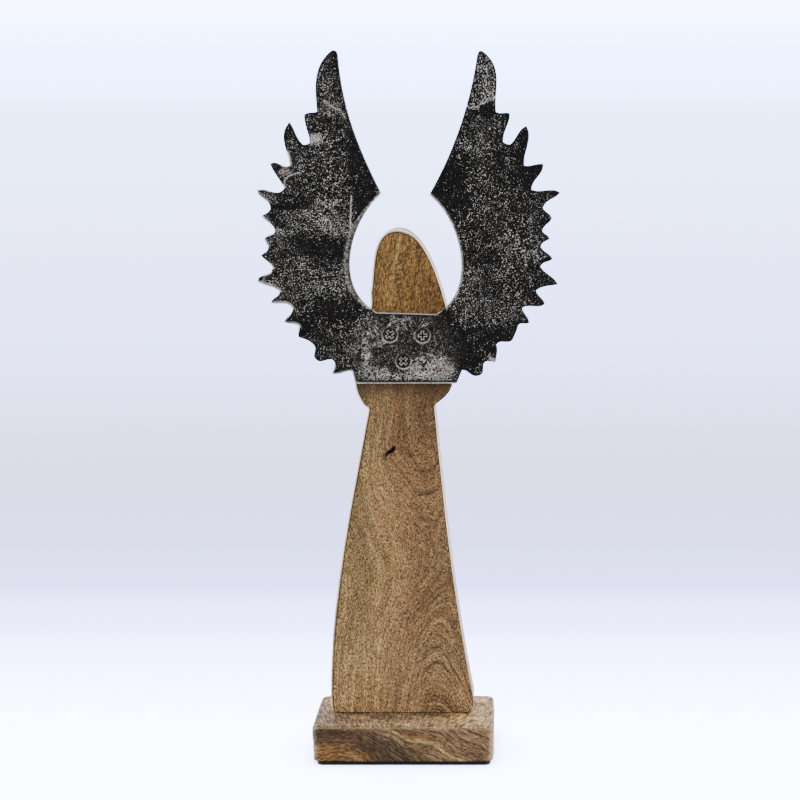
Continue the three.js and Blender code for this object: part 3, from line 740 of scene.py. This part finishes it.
class Finish:
    """a small helper round one material's nodes"""

    def __init__(self, name):
        self.material = bpy.data.materials.new(name)
        self.material.use_nodes = True
        self.tree = self.material.node_tree
        self.tree.nodes.clear()
        out = self.tree.nodes.new("ShaderNodeOutputMaterial")
        self.bsdf = self.tree.nodes.new("ShaderNodeBsdfPrincipled")
        self.tree.links.new(self.bsdf.outputs[0], out.inputs[0])

    def put(self, value, socket):
        if isinstance(value, bpy.types.NodeSocket):
            self.tree.links.new(value, socket)
        elif isinstance(value, (tuple, list)) and len(value) == 3 and len(getattr(socket, "default_value", [0])) == 4:
            socket.default_value = (*value, 1.0)
        else:
            socket.default_value = value

    def set(self, **values):
        for key, value in values.items():
            self.put(value, self.bsdf.inputs[key.replace("_", " ")])

    def math(self, op, a, b=None, c=None, clamp=False):
        n = self.tree.nodes.new("ShaderNodeMath")
        n.operation, n.use_clamp = op, clamp
        for socket, value in zip(n.inputs, (a, b, c)):
            if value is not None:
                self.put(value, socket)
        return n.outputs[0]

    def span(self, value, a, b, lo=0.0, hi=1.0, kind="SMOOTHSTEP"):
        n = self.tree.nodes.new("ShaderNodeMapRange")
        n.interpolation_type = kind
        for key, v in (("Value", value), ("From Min", a), ("From Max", b), ("To Min", lo), ("To Max", hi)):
            self.put(v, n.inputs[key])
        return n.outputs[0]

    def mix(self, fac, a, b, blend="MIX"):
        n = self.tree.nodes.new("ShaderNodeMix")
        n.data_type, n.blend_type = "RGBA", blend
        self.put(fac, n.inputs[0])
        self.put(a, n.inputs[6])
        self.put(b, n.inputs[7])
        return n.outputs[2]

    def gain(self, colour, amount):
        n = self.tree.nodes.new("ShaderNodeVectorMath")
        n.operation = "SCALE"
        self.put(colour, n.inputs[0])
        self.put(amount, n.inputs["Scale"])
        return n.outputs[0]

    def join(self, x, y, z):
        n = self.tree.nodes.new("ShaderNodeCombineXYZ")
        for socket, value in zip(n.inputs, (x, y, z)):
            self.put(value, socket)
        return n.outputs[0]

    def place(self):
        """x, y and z of the surface in mm"""
        tc = self.tree.nodes.new("ShaderNodeTexCoord")
        s = self.tree.nodes.new("ShaderNodeVectorMath")
        s.operation = "SCALE"
        s.inputs["Scale"].default_value = 1000.0
        self.tree.links.new(tc.outputs["Object"], s.inputs[0])
        sep = self.tree.nodes.new("ShaderNodeSeparateXYZ")
        self.tree.links.new(s.outputs[0], sep.inputs[0])
        return s.outputs[0], sep.outputs[0], sep.outputs[1], sep.outputs[2]

    def noise(self, vector, scale, detail=2.0, rough=0.5, distort=0.0):
        n = self.tree.nodes.new("ShaderNodeTexNoise")
        self.put(vector, n.inputs["Vector"])
        for key, v in (("Scale", scale), ("Detail", detail), ("Roughness", rough), ("Distortion", distort)):
            n.inputs[key].default_value = v
        return n.outputs["Fac"]

    def cells(self, vector, scale, feature="F1", rand=1.0):
        n = self.tree.nodes.new("ShaderNodeTexVoronoi")
        n.feature = feature
        self.put(vector, n.inputs["Vector"])
        n.inputs["Scale"].default_value = scale
        n.inputs["Randomness"].default_value = rand
        return n.outputs["Distance"]

    def attr(self, name):
        n = self.tree.nodes.new("ShaderNodeAttribute")
        n.attribute_name = name
        return n.outputs["Fac"]

    def bump(self, height, strength, distance):
        n = self.tree.nodes.new("ShaderNodeBump")
        n.inputs["Strength"].default_value = strength
        n.inputs["Distance"].default_value = distance
        self.put(height, n.inputs["Height"])
        self.put(n.outputs[0], self.bsdf.inputs["Normal"])

    def hill(self, a, l, ca, cl, sa, sl, amount):
        """a smooth hill over (a, l)"""
        u = self.math("DIVIDE", self.math("SUBTRACT", a, ca), sa)
        v = self.math("DIVIDE", self.math("SUBTRACT", l, cl), sl)
        e = self.math("ADD", self.math("MULTIPLY", u, u), self.math("MULTIPLY", v, v))
        return self.math("MULTIPLY", self.math("EXPONENT", self.math("MULTIPLY", e, -1.0)), amount)


def fibres(f, a, l, third, across, along, depth, detail=1.0, rough=0.5):
    """streaky noise that follows the growth lines: nine fixed leanings, blended by the local one"""
    turn_c, turn_s = f.attr("turn_c"), f.attr("turn_s")
    total, power = None, None
    for k in range(9):
        t = math.pi * k / 9
        w = f.math("ADD", f.math("MULTIPLY", turn_c, math.cos(2 * t)), f.math("MULTIPLY", turn_s, math.sin(2 * t)))
        w = f.math("MAXIMUM", f.math("MULTIPLY", f.math("SUBTRACT", w, 0.766), 4.0), 0.0)
        w = f.math("MULTIPLY", w, w)
        u = f.math("SUBTRACT", f.math("MULTIPLY", a, math.cos(t) * across), f.math("MULTIPLY", l, math.sin(t) * across))
        v = f.math("ADD", f.math("MULTIPLY", a, math.sin(t) * along), f.math("MULTIPLY", l, math.cos(t) * along))
        n = f.noise(f.join(u, f.math("MULTIPLY", third, depth), f.math("ADD", v, 7.3 * k)), 1.0, detail, rough)
        n = f.math("MULTIPLY", f.math("SUBTRACT", n, 0.5), w)
        p = f.math("MULTIPLY", w, w)
        total = n if total is None else f.math("ADD", total, n)
        power = p if power is None else f.math("ADD", power, p)
    return f.math("ADD", f.math("DIVIDE", total, f.math("SQRT", f.math("MAXIMUM", power, 0.01))), 0.5)


def add_all(f, values):
    total = values[0]
    for v in values[1:]:
        total = f.math("ADD", total, v)
    return total


def figure_wood():
    f = Finish("figure_wood")
    vec, px, py, pz = f.place()
    u = f.attr("flow")
    deep = f.math("MULTIPLY", py, 0.5)
    bands = f.noise(f.join(f.math("MULTIPLY", u, 0.125), f.math("MULTIPLY", deep, 0.1), f.math("MULTIPLY", pz, 0.006)), 1.0, 3.0, 0.55)
    lines = f.noise(f.join(f.math("MULTIPLY", u, 0.60), deep, f.math("MULTIPLY", pz, 0.020)), 1.0, 3.0, 0.6)
    hairs = f.noise(f.join(f.math("MULTIPLY", u, 1.35), deep, f.math("MULTIPLY", pz, 0.045)), 1.0, 2.0, 0.6)
    pores = fibres(f, px, pz, py, 2.6, 0.74, 1.3, 1.0, 0.6)
    dashes = fibres(f, px, pz, py, 1.9, 0.17, 0.9, 0.0, 0.5)
    arch = f.hill(px, pz, 17.0, 36.0, 21.0, 42.0, 1.0)
    cup = f.hill(px, pz, 8.0, 152.0, 13.0, 30.0, 1.0)
    tan = f.mix(f.span(bands, 0.40, 0.60), (0.215, 0.118, 0.044), (0.370, 0.222, 0.090))
    olive = f.span(px, 2.0, -26.0, 0.0, 0.6)
    tan = f.mix(f.math("MULTIPLY", olive, f.span(bands, 0.62, 0.40)), tan, (0.205, 0.142, 0.060))
    red = f.math("MULTIPLY", f.span(f.math("ABSOLUTE", f.math("ADD", px, 3.0)), 18.0, 2.0), f.span(pz, 40.0, 150.0, 0.15, 0.6))
    tan = f.mix(f.math("MULTIPLY", red, f.span(lines, 0.42, 0.62)), tan, (0.300, 0.132, 0.052))
    grey = f.math("ADD", f.math("MULTIPLY", arch, 0.45), f.hill(px, pz, 14.0, 118.0, 13.0, 22.0, 0.25))
    tan = f.mix(grey, tan, (0.225, 0.140, 0.078))
    low_left = f.math("MULTIPLY", f.span(px, -2.0, -30.0), f.span(pz, 95.0, 30.0, 0.0, 0.55))
    tan = f.mix(low_left, tan, (0.380, 0.236, 0.100))
    pink = f.hill(px, pz, -6.0, 48.0, 9.0, 46.0, 0.35)
    tan = f.mix(pink, tan, (0.420, 0.235, 0.120))
    gold = f.span(pz, 200.0, 262.0, 0.0, 0.85)
    tan = f.mix(gold, tan, f.mix(f.span(bands, 0.38, 0.66), (0.215, 0.104, 0.022), (0.350, 0.190, 0.042)))
    leaning = f.math("SUBTRACT", px, f.math("MULTIPLY", f.math("SUBTRACT", pz, 276.0), 0.19))
    light = f.math("MULTIPLY", f.hill(leaning, pz, -7.6, 276.0, 0.9, 18.0, 0.66), f.span(pores, 0.36, 0.54, 0.35, 1.0))
    tan = f.mix(light, tan, (0.52, 0.36, 0.14))
    shade = f.math("MULTIPLY", f.hill(leaning, pz, -5.4, 266.0, 2.2, 15.0, 0.56), f.span(hairs, 0.66, 0.45, 0.4, 1.0))
    tan = f.mix(shade, tan, (0.105, 0.068, 0.036))
    tan = f.mix(f.span(lines, 0.56, 0.38, 0.0, 0.48), tan, (0.125, 0.068, 0.028))
    dark_rings = f.math("MULTIPLY", f.span(lines, 0.50, 0.41), f.math("MULTIPLY", f.math("MAXIMUM", arch, cup), 0.80))
    tan = f.mix(dark_rings, tan, (0.095, 0.052, 0.026))
    streaks = f.math("MULTIPLY", f.span(hairs, 0.55, 0.66), f.math("ADD", 0.20, f.math("MULTIPLY", f.math("MAXIMUM", arch, cup), 0.14)))
    tan = f.mix(streaks, tan, (0.560, 0.400, 0.235))
    tan = f.mix(f.math("MULTIPLY", cup, f.span(bands, 0.42, 0.60, 0.0, 0.6)), tan, (0.270, 0.128, 0.055))
    tan = f.gain(tan, f.math("MULTIPLY", f.span(pores, 0.41, 0.60, f.span(pz, 200.0, 216.0, 0.34, 0.52), f.span(pz, 200.0, 216.0, 1.90, 1.62)),
                             f.span(dashes, 0.38, 0.62, f.span(pz, 200.0, 216.0, 0.78, 0.90), f.span(pz, 200.0, 216.0, 1.22, 1.12))))
    wavy = f.math("ADD", leaning, f.math("MULTIPLY", bands, 5.0))
    strokes = f.noise(f.join(f.math("MULTIPLY", wavy, 1.35), f.math("MULTIPLY", py, 0.9), f.math("MULTIPLY", pz, 0.40)), 1.0, 2.0, 0.65)
    tan = f.gain(tan, f.span(strokes, 0.40, 0.60, f.span(pz, 200.0, 216.0, 1.0, 0.50), f.span(pz, 200.0, 216.0, 1.0, 1.50)))
    grit = f.noise(vec, 1.7, 1.0, 0.5)
    tan = f.gain(tan, f.span(grit, 0.38, 0.62, f.span(pz, 200.0, 216.0, 0.88, 0.82), f.span(pz, 200.0, 216.0, 1.12, 1.22)))
    tone = f.math("MULTIPLY", f.span(pz, 215.0, 130.0, 0.74, 1.12), f.math("MULTIPLY", f.span(pz, 130.0, 20.0, 1.0, 1.10), f.span(px, 14.0, -30.0, 0.96, 1.24)))
    tone = f.math("ADD", tone, f.math("MULTIPLY", f.span(pz, 215.0, 240.0), 0.22))
    tan = f.gain(tan, f.math("MULTIPLY", tone, f.span(pz, 235.0, 205.0, 1.0, 0.945)))
    # painted shadow: a dark band on the front of the board just below the metal plate's foot, as if cast by the plate
    plate_shadow = f.math("MULTIPLY", f.span(pz, 198.0, 208.0, 0.0, 0.62), f.span(pz, 213.0, 210.0))
    tan = f.mix(f.math("MULTIPLY", plate_shadow, f.attr("front")), tan, (0.06, 0.032, 0.014))
    inset = f.attr("inset")
    # painted shade: a dark line on the face just inside the rounded edge
    line = f.math("MULTIPLY", f.span(inset, -0.20, 0.05), f.span(inset, 0.62, 0.38))
    tan = f.mix(f.math("MULTIPLY", line, 0.86), tan, (0.030, 0.016, 0.008))
    # painted highlight: pale colour on the rounded edge from the pale edge mask
    tan = f.mix(f.math("MULTIPLY", f.attr("lip"), f.span(pores, 0.3, 0.5, 0.65, 0.92)), tan, (0.80, 0.69, 0.60))
    tan = f.mix(f.attr("knot"), tan, (0.022, 0.006, 0.004))
    f.set(Base_Color=tan, Roughness=f.span(pores, 0.35, 0.6, 0.74, 0.50), Specular_IOR_Level=0.30)
    height = f.math("ADD", f.math("MULTIPLY", f.span(pores, 0.36, 0.56), 0.8), f.math("MULTIPLY", hairs, 0.4))
    f.bump(height, 0.5, 0.00025)
    return f.material


def base_wood():
    f = Finish("plinth_wood")
    vec, px, py, pz = f.place()
    u, s = f.attr("flow"), f.attr("lift")
    side = f.math("MULTIPLY", py, 0.05)
    along = f.math("SUBTRACT", f.math("MULTIPLY", px, 0.035), f.math("MULTIPLY", s, 0.02))
    bands = f.noise(f.join(f.math("MULTIPLY", u, 0.16), side, along), 1.0, 3.0, 0.55)
    lines = f.noise(f.join(f.math("MULTIPLY", u, 0.75), side, along), 1.0, 3.0, 0.62)
    hairs = f.noise(f.join(f.math("MULTIPLY", u, 1.8), side, f.math("MULTIPLY", along, 1.6)), 1.0, 2.0, 0.6)
    pores = fibres(f, px, s, py, 2.5, 0.44, 0.25, 1.0, 0.6)
    front = f.span(pz, 22.0, 20.5)
    tan = f.mix(f.span(bands, 0.36, 0.66), (0.125, 0.070, 0.032), (0.285, 0.172, 0.078))
    grey = f.math("MULTIPLY", f.hill(px, pz, -14.0, 13.0, 22.0, 13.0, 0.6), f.span(bands, 0.60, 0.42))
    tan = f.mix(grey, tan, (0.125, 0.098, 0.060))
    right = f.math("MULTIPLY", f.span(px, 2.0, 22.0, 0.0, 0.62), front)
    tan = f.mix(right, tan, (0.330, 0.190, 0.100))
    tan = f.mix(f.span(lines, 0.56, 0.40, 0.0, 0.66), tan, (0.056, 0.030, 0.015))
    tan = f.mix(f.span(hairs, 0.53, 0.66, 0.0, 0.48), tan, (0.440, 0.310, 0.160))
    tan = f.mix(f.math("MULTIPLY", f.attr("dark"), 0.76), tan, (0.046, 0.022, 0.012))
    tan = f.mix(f.math("MULTIPLY", f.attr("amber"), f.span(lines, 0.36, 0.62, 0.15, 0.8)), tan, (0.360, 0.140, 0.026))
    away = f.math("ABSOLUTE", f.math("SUBTRACT", u, f.math("ADD", 14.8, f.math("MULTIPLY", f.math("SUBTRACT", lines, 0.5), 3.0))))
    streak = f.math("MULTIPLY", f.math("MULTIPLY", f.span(away, 0.85, 0.25), front),
                    f.math("MULTIPLY", f.span(px, -18.0, -8.0), f.span(px, 46.0, 26.0)))
    tan = f.mix(f.math("MULTIPLY", streak, 0.75), tan, (0.640, 0.430, 0.160))
    rust = f.math("MULTIPLY", f.math("MULTIPLY", f.span(f.math("ABSOLUTE", f.math("SUBTRACT", u, 17.5)), 1.6, 0.6), front),
                  f.math("MULTIPLY", f.span(px, -14.0, -6.0), f.span(px, 40.0, 10.0)))
    tan = f.mix(f.math("MULTIPLY", rust, 0.45), tan, (0.230, 0.085, 0.026))
    over_top = f.math("SUBTRACT", 1.0, front)
    tan = f.mix(f.math("MULTIPLY", over_top, f.span(px, 10.0, 42.0, 0.0, 0.5)), tan, (0.400, 0.235, 0.100))
    gold = f.math("MULTIPLY", f.hill(px, py, 30.0, -13.0, 13.0, 5.0, 0.8), over_top)
    tan = f.mix(f.math("MULTIPLY", gold, f.span(lines, 0.42, 0.60)), tan, (0.560, 0.340, 0.080))
    tan = f.gain(tan, f.math("MULTIPLY", f.span(pores, 0.41, 0.60, 0.52, 1.56), f.math("ADD", 0.86, f.math("MULTIPLY", front, 0.26))))
    weft = f.noise(f.join(f.math("ADD", f.math("MULTIPLY", px, 0.95), f.math("MULTIPLY", py, f.span(px, -30.0, 25.0, 0.22, -0.30))),
                          f.math("MULTIPLY", py, 0.13), 3.0), 1.0, 2.0, 0.6)
    tan = f.mix(over_top, tan, f.gain(tan, f.span(weft, 0.40, 0.61, 0.30, 1.80)))
    # painted highlight: a pale line along the rounded top edge of the near side
    top_edge_highlight = f.math("MULTIPLY", f.span(s, 21.1, 21.8), f.span(s, 23.0, 22.4))
    tan = f.mix(f.math("MULTIPLY", f.math("MULTIPLY", top_edge_highlight, f.attr("near")), 0.26), tan, (0.520, 0.340, 0.165))
    # painted shadow: the block's lowest millimetre is near black, standing in for shade over the felt
    tan = f.mix(f.math("MULTIPLY", f.span(pz, 3.1, 2.4), 0.85), tan, (0.020, 0.013, 0.008))
    # painted shade: the block's ends and the turn of its corners are toned down to 64 % against the side lamps
    end_shade = f.span(f.math("ABSOLUTE", f.math("ADD", px, 4.3)), 45.8, 48.6, 1.0, 0.64)
    tan = f.gain(tan, end_shade)
    f.set(Base_Color=tan, Roughness=f.span(pores, 0.35, 0.6, 0.72, 0.50), Specular_IOR_Level=0.28)
    height = f.math("ADD", f.math("MULTIPLY", f.span(pores, 0.36, 0.52), 0.8), f.math("MULTIPLY", lines, 0.5))
    f.bump(height, 0.5, 0.00025)
    return f.material


def patina():
    f = Finish("blackened_casting")
    vec, px, py, pz = f.place()
    fine = f.noise(vec, 1.55, 1.0, 0.6)
    grit = f.noise(vec, 2.5, 1.0, 0.5)
    coarse = f.noise(vec, 0.34, 3.0, 0.62)
    wave = f.noise(vec, 0.66, 1.0, 0.5, 1.1)
    worm = f.math("ABSOLUTE", f.math("SUBTRACT", wave, 0.5))
    wear, bare, warm = f.attr("wear"), f.attr("bare"), f.attr("warm")
    worms, rim = f.attr("worms"), f.attr("rim")
    # pale specks show where the noise passes a level that falls as the wear rises
    local = f.math("ADD", wear, f.math("MULTIPLY", f.math("SUBTRACT", coarse, 0.5), 0.68))
    level = f.span(local, 0.0, 1.0, 0.652, 0.458, "LINEAR")
    grain = f.math("ADD", f.math("MULTIPLY", fine, 0.62), f.math("MULTIPLY", grit, 0.38))
    over = f.math("SUBTRACT", grain, level)
    speck = f.span(over, 0.0, 0.030)
    haze = f.span(over, -0.065, 0.01, 0.0, 0.055)
    twist = f.span(f.math("SUBTRACT", worm, f.span(local, 0.05, 0.75, 0.008, 0.088, "LINEAR")), 0.006, -0.006)
    twist = f.math("MULTIPLY", twist, f.span(grain, 0.41, 0.47, 0.20, 1.0))
    calm = f.math("MULTIPLY", speck, f.math("SUBTRACT", 1.0, f.math("MULTIPLY", worms, 0.86)))
    speck = f.math("MAXIMUM", calm, f.math("MULTIPLY", twist, worms))
    haze = f.math("MULTIPLY", haze, f.math("SUBTRACT", 1.0, f.math("MULTIPLY", worms, 0.7)))
    speck = f.math("MAXIMUM", speck, haze)
    # painted shade: no pale specks on the dark rim of the rounded edge
    speck = f.math("MULTIPLY", speck, f.math("SUBTRACT", 1.0, rim, None, True))
    black = f.mix(f.span(coarse, 0.35, 0.65), (0.0050, 0.0050, 0.0053), (0.0110, 0.0108, 0.0104))
    pale = f.mix(f.math("ADD", f.span(grit, 0.36, 0.57), f.math("MULTIPLY", worms, 0.35), None, True), (0.385, 0.352, 0.310), (0.965, 0.915, 0.845))
    pale = f.mix(f.math("MULTIPLY", warm, 0.7), pale, (0.440, 0.310, 0.260))
    black = f.mix(f.math("MULTIPLY", warm, 0.7), black, (0.036, 0.021, 0.017))
    colour = f.mix(speck, black, pale)
    scuff = f.span(grain, 0.36, 0.50, 0.35, 1.0)
    # the bare mask holds bare metal and, in places, painted highlight
    metal = f.math("MULTIPLY", bare, scuff, None, True)
    colour = f.mix(metal, colour, f.mix(f.span(fine, 0.36, 0.60), (0.420, 0.380, 0.335), (0.930, 0.875, 0.810)))
    f.set(Base_Color=colour, Metallic=f.math("MULTIPLY", metal, 0.2), Specular_IOR_Level=0.10,
          Roughness=f.math("SUBTRACT", 0.65, f.math("MULTIPLY", metal, 0.2)))
    height = f.math("ADD", f.math("MULTIPLY", grain, 0.9), f.math("MULTIPLY", speck, 0.35))
    f.bump(height, 0.75, 0.00035)
    return f.material


def felt():
    f = Finish("black_felt")
    vec, px, py, pz = f.place()
    hair = f.noise(vec, 2.6, 3.0, 0.7, 0.8)
    f.set(Base_Color=f.mix(f.span(hair, 0.35, 0.7), (0.006, 0.0055, 0.005), (0.030, 0.027, 0.024)), Roughness=0.95,
          Sheen_Weight=0.25, Specular_IOR_Level=0.1)
    f.bump(hair, 0.8, 0.0004)
    return f.material


def dress(obj, material, node):
    obj.data.materials.clear()
    obj.data.materials.append(material)
    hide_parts(node)
    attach(obj, "root")


dress(figure_obj, figure_wood(), "figure")
dress(base_obj, base_wood(), "base")
dress(wings_obj, patina(), "wings")
dress(pad_obj, felt(), "base_pad")

HEAD_R, HEAD_Y, SHANK_R, SCREW_END = 3.40, WING_NEAR + 0.62, 1.70, 8.0
TURNS = {"screw_left": 36.0, "screw_right": 2.0, "screw_lower": 47.0}


def screw_mesh(name, sx, sz, turn):
    """countersunk head with a cross recess, arrises worn, and a plain shank"""
    rim = circle(0.0, 0.0, HEAD_R, 72)[::-1]
    q, tri, d, _ = face(Outline([rim]), 0.17, [0.06, 0.16, 0.30])
    c, sn = math.cos(math.radians(turn)), math.sin(math.radians(turn))
    p, r = np.abs(q[:, 0] * c + q[:, 1] * sn), np.abs(-q[:, 0] * sn + q[:, 1] * c)
    flare = 0.56 + 0.10 * step(0.9, 2.2, np.maximum(p, r))
    cross = np.minimum(np.maximum(p - 2.25, r - flare), np.maximum(r - 2.25, p - flare))
    cross = np.where(np.maximum(p, r) < 1.1, np.minimum(cross, np.hypot(p, r) - 0.95), cross)
    depth = (1.35 - 0.32 * np.hypot(p, r)) * (1 - step(-0.32, 0.02, cross)) + 0.10 * (1 - step(0.0, 0.22, cross))
    depth = np.maximum(depth, 0) + quarter(d, 0.25) + 0.03 * fbm(q[:, 0] + sx, q[:, 1] + sz, 1.1, 2, 601)
    depth[d < 1e-4] = 0.25
    worn = 1.5 * np.exp(-((cross - 0.06) / 0.20) ** 2) + 0.12 * (1 - step(0.26, 0.46, d))
    worn = worn * (0.75 + 0.5 * fbm(q[:, 0] * 1.3 + sx, q[:, 1] * 1.3 + sz, 1.6, 2, 611))
    s = Sheet(["worn"])
    off = np.array([sx, 0.0, sz])
    s.add(at_y(q, HEAD_Y + np.maximum(depth, 0.0)) + off, tri, worn=np.clip(worn, 0, 1))
    rows, wear_rows = [], []
    for radius, yy in ((HEAD_R, HEAD_Y + 0.25), (2.6, HEAD_Y + 1.05), (SHANK_R, HEAD_Y + 1.85), (SHANK_R, 1.0),
                       (SHANK_R, SCREW_END - 4.0), (0.9, SCREW_END - 2.0), (0.12, SCREW_END)):
        ring = rim * (radius / HEAD_R)
        rows.append(at_y(ring, yy) + off)
        wear_rows.append(np.full(len(ring), 0.06 if radius == HEAD_R else 0.0))
    s.strip(rows, worn=wear_rows)
    return s.make(name + "_head", 40)


def screw_finish():
    f = Finish("black_screw")
    vec, px, py, pz = f.place()
    n = f.noise(vec, 1.6, 3.0, 0.6)
    worn = f.math("MULTIPLY", f.attr("worn"), f.span(n, 0.38, 0.52, 0.55, 1.0), None, True)
    base = f.mix(f.span(n, 0.50, 0.72), (0.0042, 0.0042, 0.0042), (0.013, 0.0125, 0.012))
    f.set(Base_Color=f.mix(worn, base, f.mix(f.span(n, 0.4, 0.6), (0.50, 0.48, 0.45), (0.92, 0.89, 0.85))),
          Metallic=f.math("MULTIPLY", worn, 0.25), Roughness=f.span(n, 0.3, 0.7, 0.45, 0.6), Specular_IOR_Level=0.12)
    f.bump(n, 0.35, 0.0002)
    return f.material


black_screw = screw_finish()
for name, sx, sz in SCREWS:
    dress(screw_mesh(name, sx, sz, TURNS[name]), black_screw, name)


# ------------------------------------------------------ floor, light, view

# glow of the sweep against the distance along it, floor first
SWEEP_STOPS = [
    (-0.20, (8.9, 9.3, 16.6)), (0.02, (8.6, 9.0, 16.2)), (0.18, (4.8, 5.2, 12.0)), (0.28, (2.9, 3.1, 7.0)),
    (0.40, (1.75, 1.82, 3.75)), (0.55, (1.55, 1.66, 3.1)), (0.75, (1.52, 1.68, 2.85)), (1.16, (2.25, 2.58, 5.0)),
    (1.52, (2.85, 3.4, 6.5)), (1.63, (3.7, 4.7, 11.0)), (1.75, (5.7, 7.3, 14.4)), (2.40, (6.5, 8.0, 15.0)),
]


def sweep():
    """pale studio sweep: a floor that curves up into a wall"""
    rows = [(-2.2, 0.0), (0.55, 0.0)]
    for k in range(1, 13):
        a = k / 12 * math.pi / 2
        rows.append((0.55 + 0.75 * math.sin(a), 0.75 - 0.75 * math.cos(a)))
    rows.append((1.30, 3.2))
    xs = (-3.0, -1.0, 0.0, 1.0, 3.0)
    verts = [(x, y, z) for y, z in rows for x in xs]
    faces = []
    for r in range(len(rows) - 1):
        for c in range(len(xs) - 1):
            a = r * len(xs) + c
            faces.append((a, a + 1, a + 1 + len(xs), a + len(xs)))
    mesh = bpy.data.meshes.new("studio_floor")
    mesh.from_pydata(verts, [], faces)
    mesh.polygons.foreach_set("use_smooth", [True] * len(faces))
    obj = bpy.data.objects.new("studio_floor", mesh)
    bpy.context.scene.collection.objects.link(obj)
    f = Finish("studio_floor")
    tc = f.tree.nodes.new("ShaderNodeTexCoord")
    sep = f.tree.nodes.new("ShaderNodeSeparateXYZ")
    f.put(tc.outputs["Object"], sep.inputs[0])
    along = f.math("ADD", sep.outputs[1], sep.outputs[2])
    ramp = f.tree.nodes.new("ShaderNodeValToRGB")
    ramp.color_ramp.interpolation = "EASE"
    f.put(f.span(along, -0.4, 3.6, 0.0, 1.0, "LINEAR"), ramp.inputs[0])
    stops = SWEEP_STOPS
    while len(ramp.color_ramp.elements) < len(stops):
        ramp.color_ramp.elements.new(0.5)
    for e, (t, colour) in zip(ramp.color_ramp.elements, stops):
        e.position = (t + 0.4) / 4.0
        e.color = (*[c / 20.0 for c in colour], 1.0)
    shade = None
    for reach, dark in ((0.10, 0.55), (0.010, 0.12)):
        ao = f.tree.nodes.new("ShaderNodeAmbientOcclusion")
        ao.samples = 8
        ao.inputs["Distance"].default_value = reach
        part = f.span(ao.outputs["AO"], 0.05, 0.95, dark, 1.0, "LINEAR")
        shade = part if shade is None else f.math("MULTIPLY", shade, part)
    f.set(Base_Color=(0.045, 0.047, 0.052), Roughness=0.95, Specular_IOR_Level=0.0)
    f.put(ramp.outputs[0], f.bsdf.inputs["Emission Color"])
    f.put(f.math("MULTIPLY", shade, 24.5), f.bsdf.inputs["Emission Strength"])
    obj.data.materials.append(f.material)
    # the sweep is only a background: the light round the object comes from the world and the lamps
    obj.visible_diffuse = False
    obj.visible_glossy = False
    obj.visible_shadow = False
    return obj


sweep()

world = bpy.data.worlds.new("studio")
bpy.context.scene.world = world
world.use_nodes = True
tree = world.node_tree
tree.nodes.clear()
w_out = tree.nodes.new("ShaderNodeOutputWorld")
w_bg = tree.nodes.new("ShaderNodeBackground")
tree.links.new(w_bg.outputs[0], w_out.inputs[0])
w_tc = tree.nodes.new("ShaderNodeTexCoord")
w_sep = tree.nodes.new("ShaderNodeSeparateXYZ")
tree.links.new(w_tc.outputs["Generated"], w_sep.inputs[0])


def w_range(source, a, b, lo, hi):
    n = tree.nodes.new("ShaderNodeMapRange")
    n.interpolation_type = "SMOOTHSTEP"
    tree.links.new(source, n.inputs["Value"])
    for key, v in (("From Min", a), ("From Max", b), ("To Min", lo), ("To Max", hi)):
        n.inputs[key].default_value = v
    return n.outputs[0]


def w_add(a, b):
    n = tree.nodes.new("ShaderNodeMath")
    n.operation = "ADD"
    tree.links.new(a, n.inputs[0])
    tree.links.new(b, n.inputs[1])
    return n.outputs[0]


side = tree.nodes.new("ShaderNodeMath")
side.operation = "ABSOLUTE"
tree.links.new(w_sep.outputs[0], side.inputs[0])
total = w_add(w_range(w_sep.outputs[1], -0.20, 0.6, 0.33, 2.4), w_range(side.outputs[0], 0.60, 0.98, 0.0, 3.4))
total = w_add(total, w_range(w_sep.outputs[2], 0.3, 0.95, 0.0, 0.25))
tree.links.new(total, w_bg.inputs["Strength"])
w_bg.inputs["Color"].default_value = (0.93, 0.96, 1.0, 1.0)


def lamp(name, place, target, size, power, colour=(1, 1, 1)):
    data = bpy.data.lights.new(name, "AREA")
    data.shape = "RECTANGLE"
    data.size, data.size_y = size
    data.energy = power
    data.color = colour
    obj = bpy.data.objects.new(name, data)
    obj.location = place
    obj.rotation_euler = (Vector(target) - Vector(place)).to_track_quat("-Z", "Y").to_euler()
    bpy.context.scene.collection.objects.link(obj)
    return obj


lamp("soft_front", (-0.35, -1.5, 1.15), (0, 0, 0.18), (1.0, 0.7), 7.6, (1.0, 0.98, 0.95))
lamp("soft_top", (0.0, 0.15, 1.35), (0, 0, 0.15), (1.0, 0.8), 4.0)
lamp("soft_left", (-1.2, 0.32, 0.5), (0, 0, 0.2), (0.7, 0.9), 50.0)
lamp("soft_right", (1.2, 0.32, 0.5), (0, 0, 0.2), (0.7, 0.9), 38.0)

# the camera looks level with the wings' top, 8.57 degrees down, a little right of the statue
cam_data = bpy.data.cameras.new("view")
cam_data.lens = 1943.0 / 800.0 * 36.0
cam_data.sensor_width = 36.0
cam_data.shift_x = (400.0 - 518.0) / 800.0
cam_data.clip_start = 0.05
cam_data.clip_end = 20.0
cam = bpy.data.objects.new("view", cam_data)
cam.location = (0.05905, -1.056, 0.358)
cam.rotation_euler = (math.radians(90.0 - 8.57), 0.0, 0.0)
bpy.context.scene.collection.objects.link(cam)
bpy.context.scene.camera = cam
